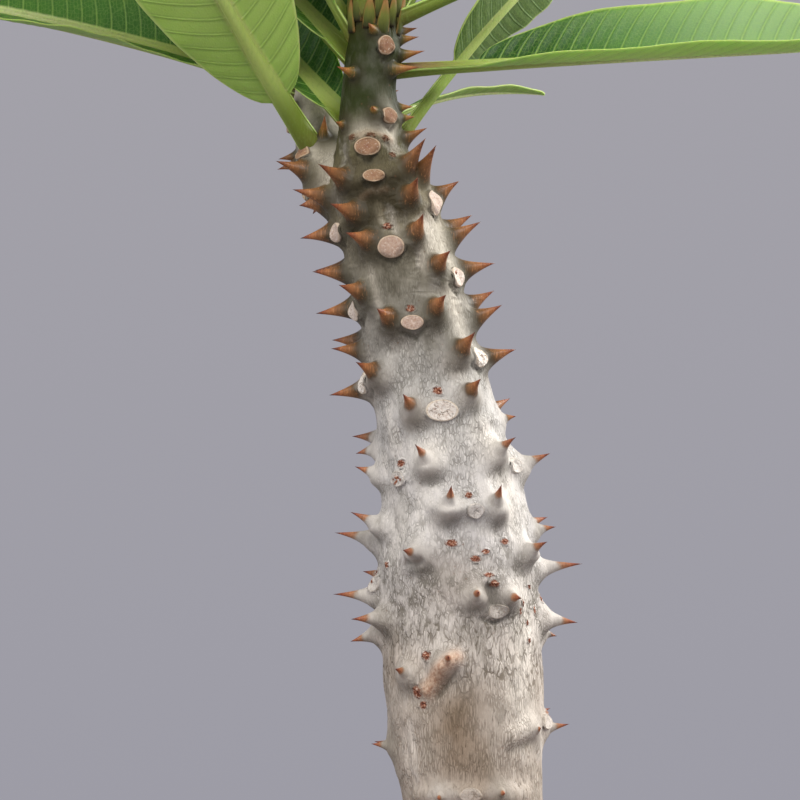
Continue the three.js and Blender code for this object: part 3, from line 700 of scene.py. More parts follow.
def thorn_finish():
    """Bark at the thorn's foot, then brown horn, then a fine dark red tip."""
    finish = Finish("thorn_horn", Specular_IOR_Level=0.24)
    bark, relief, _ = bark_coat(finish)
    along = finish.mark("along")
    height = finish.height()
    wander = finish.grain(0.8, 0.8, 1.6, detail=2.0) - 0.5
    where = along + wander * 0.14
    young_horn = finish.ramp(where, [
        (0.0, srgb(54, 46, 28)), (0.13, srgb(72, 56, 34)), (0.3, srgb(118, 82, 50)),
        (0.55, srgb(152, 98, 58)), (0.8, srgb(126, 66, 42)), (1.0, srgb(62, 34, 28)),
    ])
    old_horn = finish.ramp(where, [
        (0.0, srgb(150, 140, 126)), (0.26, srgb(140, 118, 98)), (0.44, srgb(154, 104, 72)),
        (0.68, srgb(142, 78, 52)), (0.88, srgb(98, 48, 36)), (1.0, srgb(54, 30, 26)),
    ])
    upper = finish.ease(height, *HORN_TURNS_BROWN)
    horn = finish.mix(upper, old_horn, young_horn)
    horn = finish.mix(finish.ease(height, *HORN_TURNS_OLIVE) * 0.35, horn, srgb(84, 56, 22))
    fresh_horn = finish.ramp(where, [
        (0.0, srgb(46, 50, 18)), (0.18, srgb(78, 70, 30)), (0.42, srgb(140, 98, 44)),
        (0.75, srgb(146, 88, 46)), (1.0, srgb(92, 50, 30)),
    ])
    horn = finish.mix(finish.ease(height, *HORN_TURNS_FRESH), horn, fresh_horn)
    horn_start = 0.26 - upper * 0.2
    share = finish.ease(where - horn_start, -0.06, 0.14)
    colour = finish.mix(share, bark, horn)
    line = finish.grain(0.3, 0.3, 2.4, detail=2.0)
    colour = finish.mix(finish.ease(line, 0.5, 0.72) * share * 0.4, colour, srgb(78, 50, 34))
    pale_line = finish.ease(line, 0.44, 0.3) * share * 0.3
    colour = finish.mix(pale_line, colour, srgb(206, 142, 92))
    rough = 0.58 - share * 0.18
    normal = finish.bump(relief, 0.12, finish.bump(line, 0.05))
    return finish.wear(Base_Color=colour, Roughness=rough, Normal=normal)


def scar_finish():
    """A cork disc, brown when young and whitish when old, with a ring of dots in a thin dark-edged rim."""
    finish = Finish("scar_cork", Specular_IOR_Level=0.3)
    bark, relief, _ = bark_coat(finish)
    reach = finish.mark("reach")
    dot = finish.mark("dot")
    age = finish.mark("age")
    height = finish.height()
    buried = 1 - finish.ease(height, *SCARS_STAND_CLEAR)
    cork = finish.ramp(age, [
        (0.0, srgb(122, 88, 62)), (0.3, srgb(146, 116, 86)), (0.5, srgb(160, 136, 118)),
        (0.64, srgb(178, 156, 140)), (1.0, srgb(222, 215, 203)),
    ])
    mottle = finish.grain(0.4, 0.4, 0.4, detail=4.0, rough=0.65)
    cork = finish.mix(finish.ease(mottle, 0.44, 0.66) * 0.5, cork, srgb(150, 114, 88))
    cork = finish.mix(finish.ease(mottle, 0.46, 0.3) * 0.4, cork, srgb(226, 208, 190))
    cell = finish.ease(finish.edges(2.3, 2.3, 1.5, warp=1.8, warp_grain=1.5), 0.06, 0.015)
    cell = cell * finish.ease(age, 0.86, 0.94) * finish.ease(finish.grain(1.4, 1.4, 1.4), 0.4, 0.55)
    cork = finish.mix(cell * 0.75, cork, srgb(104, 84, 64))
    cork = finish.mix(dot * 0.5, cork, srgb(120, 82, 60))
    middle = finish.ease(reach, 0.42, 0.05) * (1 - finish.ease(age, 0.1, 0.4))
    cork = finish.mix(middle * 0.55, cork, srgb(110, 66, 46))
    rim = finish.ease(abs(reach - 0.83), 0.07, 0.02)
    cork = finish.mix(rim * 0.5, cork, srgb(196, 176, 146))
    cork = finish.mix(buried * 0.65, cork, bark)
    groove = finish.ease(abs(reach - 0.91), 0.06, 0.0)
    colour = finish.mix(finish.ease(reach, 0.87, 0.93), cork, bark)
    paling = buried.most(finish.ease(age, 0.9, 0.95) * 0.8)
    colour = finish.mix(groove * (0.7 - paling * 0.5), colour, srgb(66, 56, 40))
    grit = finish.grain(0.3, 0.3, 0.3, detail=2.0)
    normal = finish.bump(relief * finish.ease(reach, 0.87, 0.95) + cell * -0.5 + mottle * 0.6, 0.12,
                         finish.bump(grit, 0.05))
    return finish.wear(Base_Color=colour, Roughness=0.62 + mottle * 0.25, Normal=normal)


def crust_finish():
    """Flaking red-brown cork with pale flecks, and bark at its edge."""
    finish = Finish("crust_cork", Specular_IOR_Level=0.25)
    bark, relief, _ = bark_coat(finish)
    reach = finish.mark("reach")
    flake = finish.grain(0.4, 0.4, 0.4, detail=3.0, rough=0.65)
    colour = finish.ramp(flake, [
        (0.3, srgb(60, 32, 24)), (0.45, srgb(118, 66, 46)), (0.56, srgb(160, 108, 82)),
        (0.68, srgb(216, 196, 176)),
    ])
    colour = finish.mix(finish.ease(finish.height(), *CRUSTS_TURN_DARK) * 0.75, colour, srgb(74, 56, 34))
    edge = finish.ease(reach + (flake - 0.5) * 1.1, 0.42, 0.72)
    colour = finish.mix(edge, colour, bark)
    normal = finish.bump(flake * (1 - edge) + relief * edge, 0.3)
    return finish.wear(Base_Color=colour, Roughness=0.7 + flake * 0.2, Normal=normal)


# Stem

TRUNK_COLUMNS = 300
BASE_ROWS = 120
TRUNK_ROWS = 315
BASE_TOP = 168
BRANCH_COLUMNS = 120
BRANCH_ROWS = 110
FORK_FILLET = 6
FORK_BOTTOM = 276

# Swollen feet: how far one can reach up or down, how steep its edge is, its half heights below and above as
# shares of its half width, how far it hangs below its thorn, and how much two that overlap add up
FOOT_REACH = 16
DOME_POWER = 2.1
DOME_BELOW = 0.78
DOME_ABOVE = 1.2
DOME_DROOP = 0.5
DOME_BLEND = 0.12

# Cushions under the scars, and the lines of ridges and creases
CUSHION_REACH = 10
CUSHION_FLARE = 1.25
CUSHION_HEIGHT = 0.5
LINE_REACH = 20
LINE_POWER = 2.4

# Shade under the feet and in the creases, a darker halo round the young feet that is partly painted shade
# (half width and half height), how far each stain and painted highlight reaches in half heights, and how
# much paler the second branch is
SHADE_DROP = 2.4
SHADE_HALF_HEIGHT = 0.55
SHADE_FULL_FOOT = 2.5
CREASE_SHADE = 1.6
HALO = (4.4, 3.2)
HALO_DEPTH = 0.65
STAIN_AND_HIGHLIGHT_REACH = 2.5
BRANCH_BLEACH = 0.9


def line_share(rise, across, spots, half_width):
    """1 on a line through spots of rise and across, falling to 0 over its half width."""
    nearest = np.full(rise.shape, np.inf)
    for (rise_a, across_a), (rise_b, across_b) in zip(spots[:-1], spots[1:]):
        step_rise, step_across = rise_b - rise_a, across_b - across_a
        share = (rise - rise_a) * step_rise + (across - across_a) * step_across
        share = np.clip(share / (step_rise**2 + step_across**2), 0, 1)
        gap = np.hypot(rise - rise_a - share * step_rise, across - across_a - share * step_across)
        nearest = np.minimum(nearest, gap)
    return np.exp(-((nearest / half_width) ** LINE_POWER))


class Skin:
    """A stem's bark as a grid of points, lifted by its feet, cushions, ridges, creases and folds."""

    def __init__(self, axis, levels, columns):
        self.axis = axis
        self.levels = levels
        self.azimuths = np.arange(columns) * 360 / columns
        self.heights = np.repeat(levels[:, None], columns, 1)
        centre, self.radius, _, right, back = axis.place(levels)
        angle = np.radians(self.azimuths)[None, :, None]
        self.out = right[:, None] * np.sin(angle) - back[:, None] * np.cos(angle)
        self.smooth = centre[:, None] + self.out * self.radius[:, None, None]
        self.lift = np.zeros(self.heights.shape)
        self.foot = np.zeros(self.heights.shape)
        self.shade = np.zeros(self.heights.shape)
        self.cork = np.zeros(self.heights.shape)
        self.stain = np.full(self.heights.shape, 0.0 if axis is trunk else BRANCH_BLEACH)

    def round_about(self, level, azimuth, reach):
        """Rows within reach of a level, and how far their points lie above it and round from an azimuth."""
        rows = np.abs(self.levels - level) < reach
        turn = (self.azimuths[None, :] - azimuth + 180) % 360 - 180
        return rows, self.heights[rows] - level, np.radians(turn) * self.radius[rows, None]

    def swell_feet(self):
        """Swollen feet of the thorns, with shade under them and a darker halo, partly painted shade, round
        the young ones.
        """
        halo = np.zeros(self.heights.shape)
        for level, azimuth, length, *_ in self.axis.thorns:
            rows, rise, across = self.round_about(level, azimuth, FOOT_REACH)
            rise = rise + DOME_DROOP
            wide = steps(FOOT_WIDTHS, level)
            tall = wide * np.where(rise < 0, DOME_BELOW, DOME_ABOVE)
            share = np.exp(-(np.hypot(across / wide, rise / tall) ** DOME_POWER))
            grown = steps(FOOT_HEIGHTS, level) * min(1, length / THORN_LENGTH)
            lift = self.lift[rows]
            self.lift[rows] = np.maximum(lift, grown * share) + DOME_BLEND * np.minimum(lift, grown * share)
            self.foot[rows] = np.maximum(self.foot[rows], share)
            below = (rise + SHADE_DROP) / (SHADE_HALF_HEIGHT * wide)
            under = np.exp(-(across / wide) ** 2 - below**2)
            self.shade[rows] = np.maximum(self.shade[rows], under * min(1, grown / SHADE_FULL_FOOT))
            # A darker halo round each young foot, partly painted shade under it
            if COLLAR_FROM < level < YOUNG_HEIGHT:
                ring = np.exp(-(across / HALO[0]) ** 2 - ((rise + 1) / HALO[1]) ** 2)
                halo[rows] = np.maximum(halo[rows], ring)
        self.stain -= HALO_DEPTH * halo

    def raise_scars(self):
        """A low cushion under each leaf scar."""
        for level, azimuth, half_width, half_height in self.axis.scars:
            rows, rise, across = self.round_about(level, azimuth, CUSHION_REACH)
            reach = np.hypot(across / (half_width * CUSHION_FLARE), rise / (half_height * CUSHION_FLARE))
            self.lift[rows] += CUSHION_HEIGHT * np.exp(-reach**4)

    def draw_line(self, spots, half_width, tall, cork=0.0):
        """A ridge through spots of height and azimuth, or a crease if tall is below 0."""
        first_level, first_azimuth = spots[0]
        rows, _, across = self.round_about(first_level, first_azimuth, LINE_REACH)
        bow = self.radius[rows].mean()
        flat = [(level, math.radians(azimuth - first_azimuth) * bow) for level, azimuth in spots]
        share = line_share(self.heights[rows], across, flat, half_width)
        self.lift[rows] += tall * share
        self.cork[rows] = np.maximum(self.cork[rows], share * cork)
        if tall < 0:
            self.shade[rows] = np.maximum(self.shade[rows], share * min(1, -tall * CREASE_SHADE))

    def draw_collars(self):
        """A collar below each young leaf scar, with a crease under it."""
        for level, azimuth, *_ in self.axis.scars:
            if level > COLLAR_FROM:
                for line, shape in ((COLLAR_LINE, COLLAR), (LEDGE_LINE, LEDGE)):
                    self.draw_line([(level - drop, azimuth + turn) for turn, drop in line], *shape)

    def mark_trunk(self):
        """The trunk's own ridges, creases, stains and painted highlights."""
        for half_width, tall, cork, spots in RIDGES:
            self.draw_line(spots, half_width, tall, cork)
        for half_width, depth, spots in CREASES:
            self.draw_line(spots, half_width, -depth)
        for level, azimuth, half_width, half_height, amount in STAINS_AND_HIGHLIGHTS:
            rows, rise, across = self.round_about(level, azimuth, STAIN_AND_HIGHLIGHT_REACH * half_height)
            self.stain[rows] += amount * np.exp(-(across / half_width) ** 2 - (rise / half_height) ** 2)

    def fold_bark(self):
        """Folds, creases and lumps all over the bark, calmer on the feet and on young bark."""
        at = self.smooth
        fine = noise_at(at, (1.2, 1.2, 5), 3.1) * 0.12 + noise_at(at, (3, 3, 8), 1.7) * 0.3
        crease = ease(np.abs(noise_at(at, (2.2, 2.2, 4.5), 6.4)), 0.12, 0.0)
        lump = noise_at(at, (13, 13, 16), 5.5) * 0.5 + noise_at(at, (6, 6, 5), 2.9) * 0.25
        calm = 1 - self.foot * 0.8
        youth = ease(self.heights, 292, 306)
        self.lift += (fine - crease * 0.16) * calm * (1 - youth * 0.2) + lump * (1 - youth * 0.5)

    def grown(self):
        """Points of the bark, level at both ends, and its finish attributes."""
        low, high = self.levels[0], self.levels[-1]
        inside = ease(self.heights, low, low + 3) * (1 - ease(self.heights, high - 2, high))
        shade = np.clip(self.shade * (1 - self.foot * 0.4), 0, 1)
        marks = {"foot": self.foot, "shade": shade, "cork": self.cork, "stain": self.stain}
        return self.smooth + self.out * (self.lift * inside)[..., None], marks


def grown_skin(axis, levels, columns):
    """Points of a stem's bark and its finish attributes."""
    skin = Skin(axis, levels, columns)
    skin.swell_feet()
    skin.raise_scars()
    skin.draw_collars()
    if axis is trunk:
        skin.mark_trunk()
    skin.fold_bark()
    return skin.grown()


def filleted(points, other, own_levels):
    """Pushes a stem's points out where the other stem comes close, which rounds the fork's inner corner."""
    near = own_levels > FORK_BOTTOM
    centre, radius, *_ = other.place(np.linspace(other.table[0, 0], other.table[-1, 0], 60))
    moved = points.copy()
    ring = points[near]
    gap = np.linalg.norm(ring[:, :, None] - centre, axis=-1) - radius
    close = np.clip(1 - np.abs(gap.min(-1)) / FORK_FILLET, 0, 1)
    outward = unit(ring - ring.mean(1, keepdims=True))
    moved[near] = ring + outward * (FORK_FILLET / 4 * close**2)[..., None]
    return moved


def grid_normals(points):
    """Normals of a grid of points that closes round its columns."""
    down = np.gradient(points, axis=0)
    round_it = np.roll(points, -1, 1) - np.roll(points, 1, 1)
    return unit(np.cross(round_it, down))


def closed_part(points, marks, rows):
    """One stretch of rows of a skin as a closed body, with its attributes and the whole skin's normals."""
    part_points, faces = closed_loft(points[rows])
    ends = np.array([[0, 0, -1.0], [0, 0, 1.0]])
    part_normals = np.concatenate([grid_normals(points)[rows].reshape(-1, 3), ends])
    part_marks = {key: np.append(values[rows].ravel(), [0, 0]) for key, values in marks.items()}
    return part_points, faces, part_marks, part_normals


def stem_skins():
    """Points and finish attributes of the trunk's bark and of the second branch's."""
    base_levels = np.linspace(TRUNK[0][0], BASE_TOP, BASE_ROWS)
    upper_levels = np.linspace(BASE_TOP, TRUNK[-1][0], TRUNK_ROWS)
    levels = np.concatenate([base_levels, upper_levels[1:]])
    points, marks = grown_skin(trunk, levels, TRUNK_COLUMNS)
    points = filleted(points, branch, levels)
    side_levels = np.linspace(BRANCH[0][0], BRANCH[-1][0], BRANCH_ROWS)
    side_points, side_marks = grown_skin(branch, side_levels, BRANCH_COLUMNS)
    side_points = filleted(side_points, trunk, side_levels)
    return (points, marks), (side_points, side_marks)


# How far outside the bark a probe starts, and how far it goes
PROBE = 7
PROBE_LENGTH = 18.2


class Bark:
    """The finished skins of both stems, and a search tree over them."""

    def __init__(self):
        self.skins = stem_skins()
        points, self.faces = merged([closed_loft(points) for points, _ in self.skins])
        self.tree = BVHTree.FromPolygons(points.tolist(), self.faces)
        self.marks = {
            key: np.concatenate([np.append(marks[key].ravel(), [0, 0]) for _, marks in self.skins])
            for key in self.skins[0][1]
        }

    def meet(self, spot, direction):
        """Point of the bark, and its face, where a line through spot against direction first meets it, or
        the nearest point if none does."""
        hit, _, face, _ = self.tree.ray_cast(
            Vector(spot + direction * PROBE), Vector(-direction), PROBE_LENGTH)
        if hit is None:
            hit, _, face, _ = self.tree.find_nearest(Vector(spot))
        return np.array(hit), face

    def marks_at(self, hit_faces):
        """The bark's own finish attributes at faces of it."""
        corners = [self.faces[face][0] for face in hit_faces]
        return {key: values[corners] for key, values in self.marks.items()}


@cache
def finished_bark():
    """The finished bark, made on its first use."""
    return Bark()


def patch(root, direction, half_width, half_height, lift, rings, sides):
    """A round patch that follows the bark and stands lift(reach, angle) out of it along direction.

    Reach is 1 at its rim and 0 in its middle. Returns its points, its faces, the bark's marks, and the
    reach and angle of each point."""
    bark = finished_bark()
    upright = np.array([0, 0, 1.0])
    across = unit(np.cross(upright, direction))
    up = np.cross(direction, across)
    reaches = 1 - np.linspace(0, 1, rings) ** 1.15
    angles = np.arange(sides) * 2 * math.pi / sides
    reach_of = np.append(np.repeat(reaches[:-1], sides), 0.0)
    angle_of = np.append(np.tile(angles, rings - 1), 0.0)
    points = []
    hit_faces = []
    for reach, angle in zip(reach_of, angle_of):
        spot = (root + across * (math.cos(angle) * half_width * reach)
                + up * (math.sin(angle) * half_height * reach))
        hit, face = bark.meet(spot, direction)
        points.append(hit + direction * lift(reach, angle))
        hit_faces.append(face)
    faces = grid_faces(rings - 1, sides)
    middle = len(points) - 1
    last = (rings - 2) * sides
    faces += [(last + side, last + (side + 1) % sides, middle) for side in range(sides)]
    return np.array(points), faces, bark.marks_at(hit_faces), reach_of, angle_of


def joined_patches(patches):
    """Several patches as one body, with the attributes of each joined."""
    points, faces = merged([(p, f) for p, f, _ in patches])
    marks = {key: np.concatenate([m[key] for *_, m in patches]) for key in patches[0][2]}
    return points, faces, marks


THORN_RINGS = 18
THORN_SIDES = 20
THORN_HEIGHT_SHARE = 1.12
THORN_BEND = 0.35
RIM_SINK = 0.12


def thorn_patch(level, _, length, root, direction):
    """One thorn: a flared foot drawn out of the bark into a slim, slightly bent horn."""
    tip = root + direction * length
    foot, _ = finished_bark().meet(root, direction)
    horn = max(float(np.dot(tip - foot, direction)), length * 0.4)
    grown = min(1, 0.3 + 0.7 * length / THORN_LENGTH)
    half = steps(HORN_WIDTHS, level) * grown
    sharp = steps(HORN_CURVES, level)

    def lift(reach, angle):
        return horn * (1 - reach) ** sharp - RIM_SINK * reach**6

    points, faces, marks, reach, _ = patch(
        foot, direction, half, half * THORN_HEIGHT_SHARE, lift, THORN_RINGS, THORN_SIDES)
    along = (1 - reach) ** sharp
    bend = unit(np.cross(direction, [0.3, 0.5, 0.8])) * (THORN_BEND * math.sin(level * 9.7 + root[0]))
    points = points + bend * (along**2)[:, None]
    marks["along"] = along
    return points, faces, marks


SCAR_RINGS = 16
SCAR_SIDES = 36
SCAR_DOTS = 9
SCAR_FLARE = 1.1
SCAR_AGES = [(240, 0.95), (252, 0.95), (262, 0.62), (284, 0.5), (290, 0.3), (297, 0.08), (330, 0.05)]


def scar_patch(axis, height, azimuth, half_width, half_height, order):
    """One leaf scar: a low disc with a rim, a shallow dish and a ring of vascular dots."""
    direction = axis.outward(height, azimuth)
    root = axis.root(height, azimuth)

    def lift(reach, angle):
        edge = 1 + 0.06 * math.sin(3 * angle + order) + 0.04 * math.sin(5 * angle + 2 * order)
        reach = min(reach * edge, 1.0)
        body = 0.42 * (1 - float(ease(reach, 0.86, 1.0)))
        rim = 0.14 * math.exp(-((reach - 0.82) / 0.07) ** 2)
        dish = -0.14 * (1 - float(ease(reach, 0.1, 0.75)))
        return body + rim + dish - RIM_SINK * float(ease(reach, 0.94, 1.0))

    points, faces, marks, reach, angle = patch(
        root, direction, half_width * SCAR_FLARE, half_height * SCAR_FLARE, lift, SCAR_RINGS, SCAR_SIDES)
    beat = np.cos(angle * SCAR_DOTS + order)
    dot = np.exp(-((reach - 0.42) / 0.1) ** 2) * ease(beat, 0.2, 0.9)
    aside = 0.28 * float(ease(abs((azimuth + 180) % 360 - 180), 45, 62))
    marks["reach"] = reach
    marks["dot"] = dot
    marks["age"] = np.full(len(reach), min(1.0, steps(SCAR_AGES, height) + aside))
    return points, faces, marks


CRUST_RINGS = 9
CRUST_SIDES = 22
CRUST_FLARE = 1.3
CRUST_LEAST = 0.5
BUD_MARK_LIFT = 1.3
CRUST_LIFT = 0.8


def crust_patch(axis, height, azimuth, half_width, half_height, height_out, order):
    """One small rough mark: a bud scar or a flake of cork."""
    direction = axis.outward(height, azimuth)
    root = axis.root(height, azimuth)

    def lift(reach, angle):
        lobe = 1 + 0.28 * math.sin(2 * angle + order) + 0.2 * math.sin(5 * angle + 3 * order)
        spot = (math.cos(angle) * reach * 3.1 + order, math.sin(angle) * reach * 3.1, order * 1.7)
        crumb = 0.6 + 0.9 * noise.noise(spot)
        fall = 1 - float(ease(reach * lobe, 0.35, 0.95))
        return height_out * crumb * fall - 0.06 * float(ease(reach, 0.9, 1.0))

    half = max(half_width, CRUST_LEAST)
    points, faces, marks, reach, _ = patch(
        root, direction, half * CRUST_FLARE, half_height * CRUST_FLARE, lift, CRUST_RINGS, CRUST_SIDES)
    marks["reach"] = reach
    return points, faces, marks


BRACTS = 40
BRACT_FIRST = 321.5
BRACT_STEP = 0.27
BRACT_TURN = 137.5
BRACT_ROWS = 14
BRACT_SIDES = 12
BRACT_THICKNESS = 0.3


def bract_rings(order):
    """One pointed scale of the crown: rings from its foot on the stem to its tip."""
    height = BRACT_FIRST + BRACT_STEP * order
    azimuth = 20 + BRACT_TURN * order
    centre, radius, along, *_ = trunk.place(height)
    out = trunk.outward(height, azimuth)
    across = np.cross(along[0], out)
    length = 8.2 - 0.05 * order + 1.2 * math.sin(order * 2.1)
    half = 1.5 - 0.012 * order + 0.25 * math.sin(order * 1.3)
    rings = []
    for t in np.linspace(0, 1, BRACT_ROWS):
        middle = centre[0] + out * (radius[0] + 0.1 + 1.9 * t - 1.5 * t**2) + along[0] * (length * t)
        wide = half * (1 - t**1.5) * (0.85 + 0.6 * t) + 0.05
        thick = BRACT_THICKNESS * (1 - 0.6 * t)
        ring = []
        for angle in np.arange(BRACT_SIDES) * 2 * math.pi / BRACT_SIDES:
            side = math.cos(angle)
            cup = 0.35 * wide * side**2
            ring.append(middle + across * (wide * side) + out * (thick * math.sin(angle) - cup))
        rings.append(ring)
    return np.array(rings)


def bract_finish():
    """Olive scale with tan, papery edges and tip."""
    finish = Finish("bract_skin", Specular_IOR_Level=0.2)
    along = finish.mark("along")
    edge = finish.mark("edge")
    line = finish.grain(0.4, 0.4, 2.0, detail=2.0)
    # Dark at the scale's foot: painted shade in the gaps between the scales
    colour = finish.ramp(along + (line - 0.5) * 0.2, [
        (0.0, srgb(38, 30, 14)), (0.2, srgb(64, 70, 24)), (0.5, srgb(96, 100, 38)),
        (0.8, srgb(130, 96, 50)), (1.0, srgb(120, 76, 44)),
    ])
    colour = finish.mix(finish.ease(edge + (line - 0.5) * 0.9, 0.68, 1.05) * 0.7, colour, srgb(134, 96, 50))
    return finish.wear(Base_Color=colour, Roughness=0.6 + line * 0.2, Normal=finish.bump(line, 0.12))


# Leaves

LEAF_ROWS = 104
STALK_ROWS = 13
HALF_COLUMNS = 13
RIB_TOP_POINTS = 3
RIB_UNDER_POINTS = 7
BLADE_THICKNESS = 0.6


def leaf_frames(leaf):
    """Rows along a leaf: distance, centre, side and up directions."""
    stem, height, azimuth, rise, tip_rise, turn, stalk, blade, _, roll, _ = leaf
    axis = trunk if stem == "trunk" else branch
    centre, radius, *_ = axis.place(height)
    start = centre[0] + axis.outward(height, azimuth) * (LEAF_START * radius[0])
    stalk_rows = np.linspace(0, stalk, STALK_ROWS + 1)[:-1]
    eased = stalk + blade * (1 - np.cos(np.linspace(0, math.pi, LEAF_ROWS - STALK_ROWS))) / 2
    even = stalk + blade * np.linspace(0, 1, LEAF_ROWS - STALK_ROWS)
    distance = np.concatenate([stalk_rows, eased * 0.3 + even * 0.7])
    t = distance / (stalk + blade)
    heading = np.radians(azimuth + turn * t)
    slope = np.radians(rise + (tip_rise - rise) * t)
    level = np.column_stack([np.sin(heading), -np.cos(heading), np.zeros(len(t))])
    along = level * np.cos(slope)[:, None] + np.array([0, 0, 1.0]) * np.sin(slope)[:, None]
    steps_along = np.diff(distance, prepend=0)[:, None] * along
    centres = start + np.cumsum(steps_along, 0)
    flat_side = np.column_stack([level[:, 1], -level[:, 0], np.zeros(len(t))])
    flat_up = np.cross(flat_side, along)
    tilt = math.radians(roll)
    side = flat_side * math.cos(tilt) + flat_up * math.sin(tilt)
    up = flat_up * math.cos(tilt) - flat_side * math.sin(tilt)
    return distance, centres, side, up


def leaf_mesh(leaf, index, vein_spacing):
    """A leaf as one closed body: a stalk that runs on as the midrib between two waved, quilted halves."""
    *_, stalk, blade, half_width, _, fold = leaf
    distance, centres, side, up = leaf_frames(leaf)
    t = (distance / (stalk + blade))[:, None]
    v = np.clip((distance - stalk) / blade, 0, 1)[:, None]
    young = min(1, 0.5 + half_width / YOUNG_LEAF_WIDTH)
    socket = 1 + SOCKET_SWELL * np.exp(-(distance[:, None] / SOCKET_LENGTH) ** 2)
    narrowing = RIB_TAPER * t + RIB_STEP * ease(v, -0.02, RIB_STEP_END)
    rib = STALK_HALF_WIDTH * young * (1 - narrowing) * socket
    depth = STALK_DEPTH * STALK_KEEL * young * (1 - RIB_DEPTH_TAPER * t**0.7) * socket
    taper = np.clip((1 - v) / RIB_TIP, 0.1, 1) ** 0.7 * LEAF_SLIMNESS.get(index, 1)
    rib, depth = rib * taper, depth * taper
    width = np.maximum(half_width * v**FOOT_CURVE * (1 - v)**TIP_CURVE / SHAPE_PEAK, 0.12)
    fullness = np.minimum(width / FULL_WAVE_WIDTH, 1) * LEAF_CALM.get(index, 1)
    wave = np.where(v > 0, MARGIN_WAVE * fullness, 0)
    ruffle = MARGIN_RUFFLE * fullness**2
    lean = math.radians(fold)

    def half_blade(sign, reach):
        """Distance across, lift and vein phase of the blade at a share of its half width."""
        phase = 2 * math.pi * (MARGIN_WAVES * v + WAVE_SHIFT * index) + sign
        ripple = np.sin(2 * math.pi * (MARGIN_RUFFLES * v + 0.7 * sign + index * 0.31)) * ruffle * reach**3
        arch = reach**1.25
        vein = (v * blade - reach * width * 0.42 * (0.75 + 0.5 * reach)) / vein_spacing + 0.25 * sign
        quilt = QUILT_DEPTH * np.cos(2 * math.pi * vein) * np.minimum(width / 5, 1)
        quilt = quilt * np.sin(math.pi * reach) ** 0.6
        lift = width * math.sin(lean) * arch + wave * np.sin(phase) * reach**1.6 + ripple + quilt
        across = sign * (rib + width * math.cos(lean) * reach)
        return across, lift, vein

    def blade_column(sign, reach, face):
        """A column on one face of the blade (1 above, -1 below): across, lift, vein, reach and upper."""
        across, lift, vein = half_blade(sign, reach)
        return across, lift + face * half_thick * (1 - 0.5 * reach**5), vein, reach, (face + 1) / 2

    def edge_column(sign):
        """A column on the rounded edge of the blade."""
        across, lift, vein = half_blade(sign, 1.0)
        return across + sign * EDGE_OVERHANG, lift, vein, 1.0, 0.5

    half_thick = BLADE_THICKNESS / 2
    reaches = np.linspace(0, 1, HALF_COLUMNS) ** 0.9
    rib_top = np.linspace(-1, 1, RIB_TOP_POINTS + 2)[1:-1]
    rib_under = np.linspace(0, math.pi, RIB_UNDER_POINTS + 2)[1:-1]
    columns = [
        *(blade_column(-1, reach, 1) for reach in reaches[::-1]),
        *((rib * side, half_thick - RIB_CROWN * (1 - side**2) * rib, v * 0, 0.0, 1.0) for side in rib_top),
        *(blade_column(1, reach, 1) for reach in reaches),
        edge_column(1),
        *(blade_column(1, reach, -1) for reach in reaches[::-1]),
        *((rib * math.cos(a), -(half_thick + depth * math.sin(a)), v * 0, 0.0, 0.0) for a in rib_under),
        *(blade_column(-1, reach, -1) for reach in reaches),
        edge_column(-1),
    ]
    full = np.ones((len(distance), 1))
    grids = (np.hstack([full * part for part in parts]) for parts in zip(*columns))
    across, lift, vein, reach, upper = grids
    rings = centres[:, None] + side[:, None] * across[..., None] + up[:, None] * lift[..., None]
    marks = {
        "tone": np.full(across.shape, LEAF_TONES_AND_SHADE.get(index, 0.12 + 0.12 * math.sin(2.4 * index))),
        "flush": np.full(across.shape, LEAF_PAINTED_LIGHT_AND_BLUSH.get(index, 0.0)),
        "vein": vein,
        "reach": reach,
        "upper": upper,
        "rib": np.clip(1 - (np.abs(across) - rib) / RIB_BORDER, 0, 1),
        "length": np.hstack([t] * len(columns)),
        "stalk": np.hstack([1 - ease(distance[:, None] - stalk, -4, 6)] * len(columns)),
    }
    points, faces = closed_loft(rings)
    marks = {key: np.append(values.ravel(), [values[0, 0], values[-1, 0]]) for key, values in marks.items()}
    return points, faces, marks


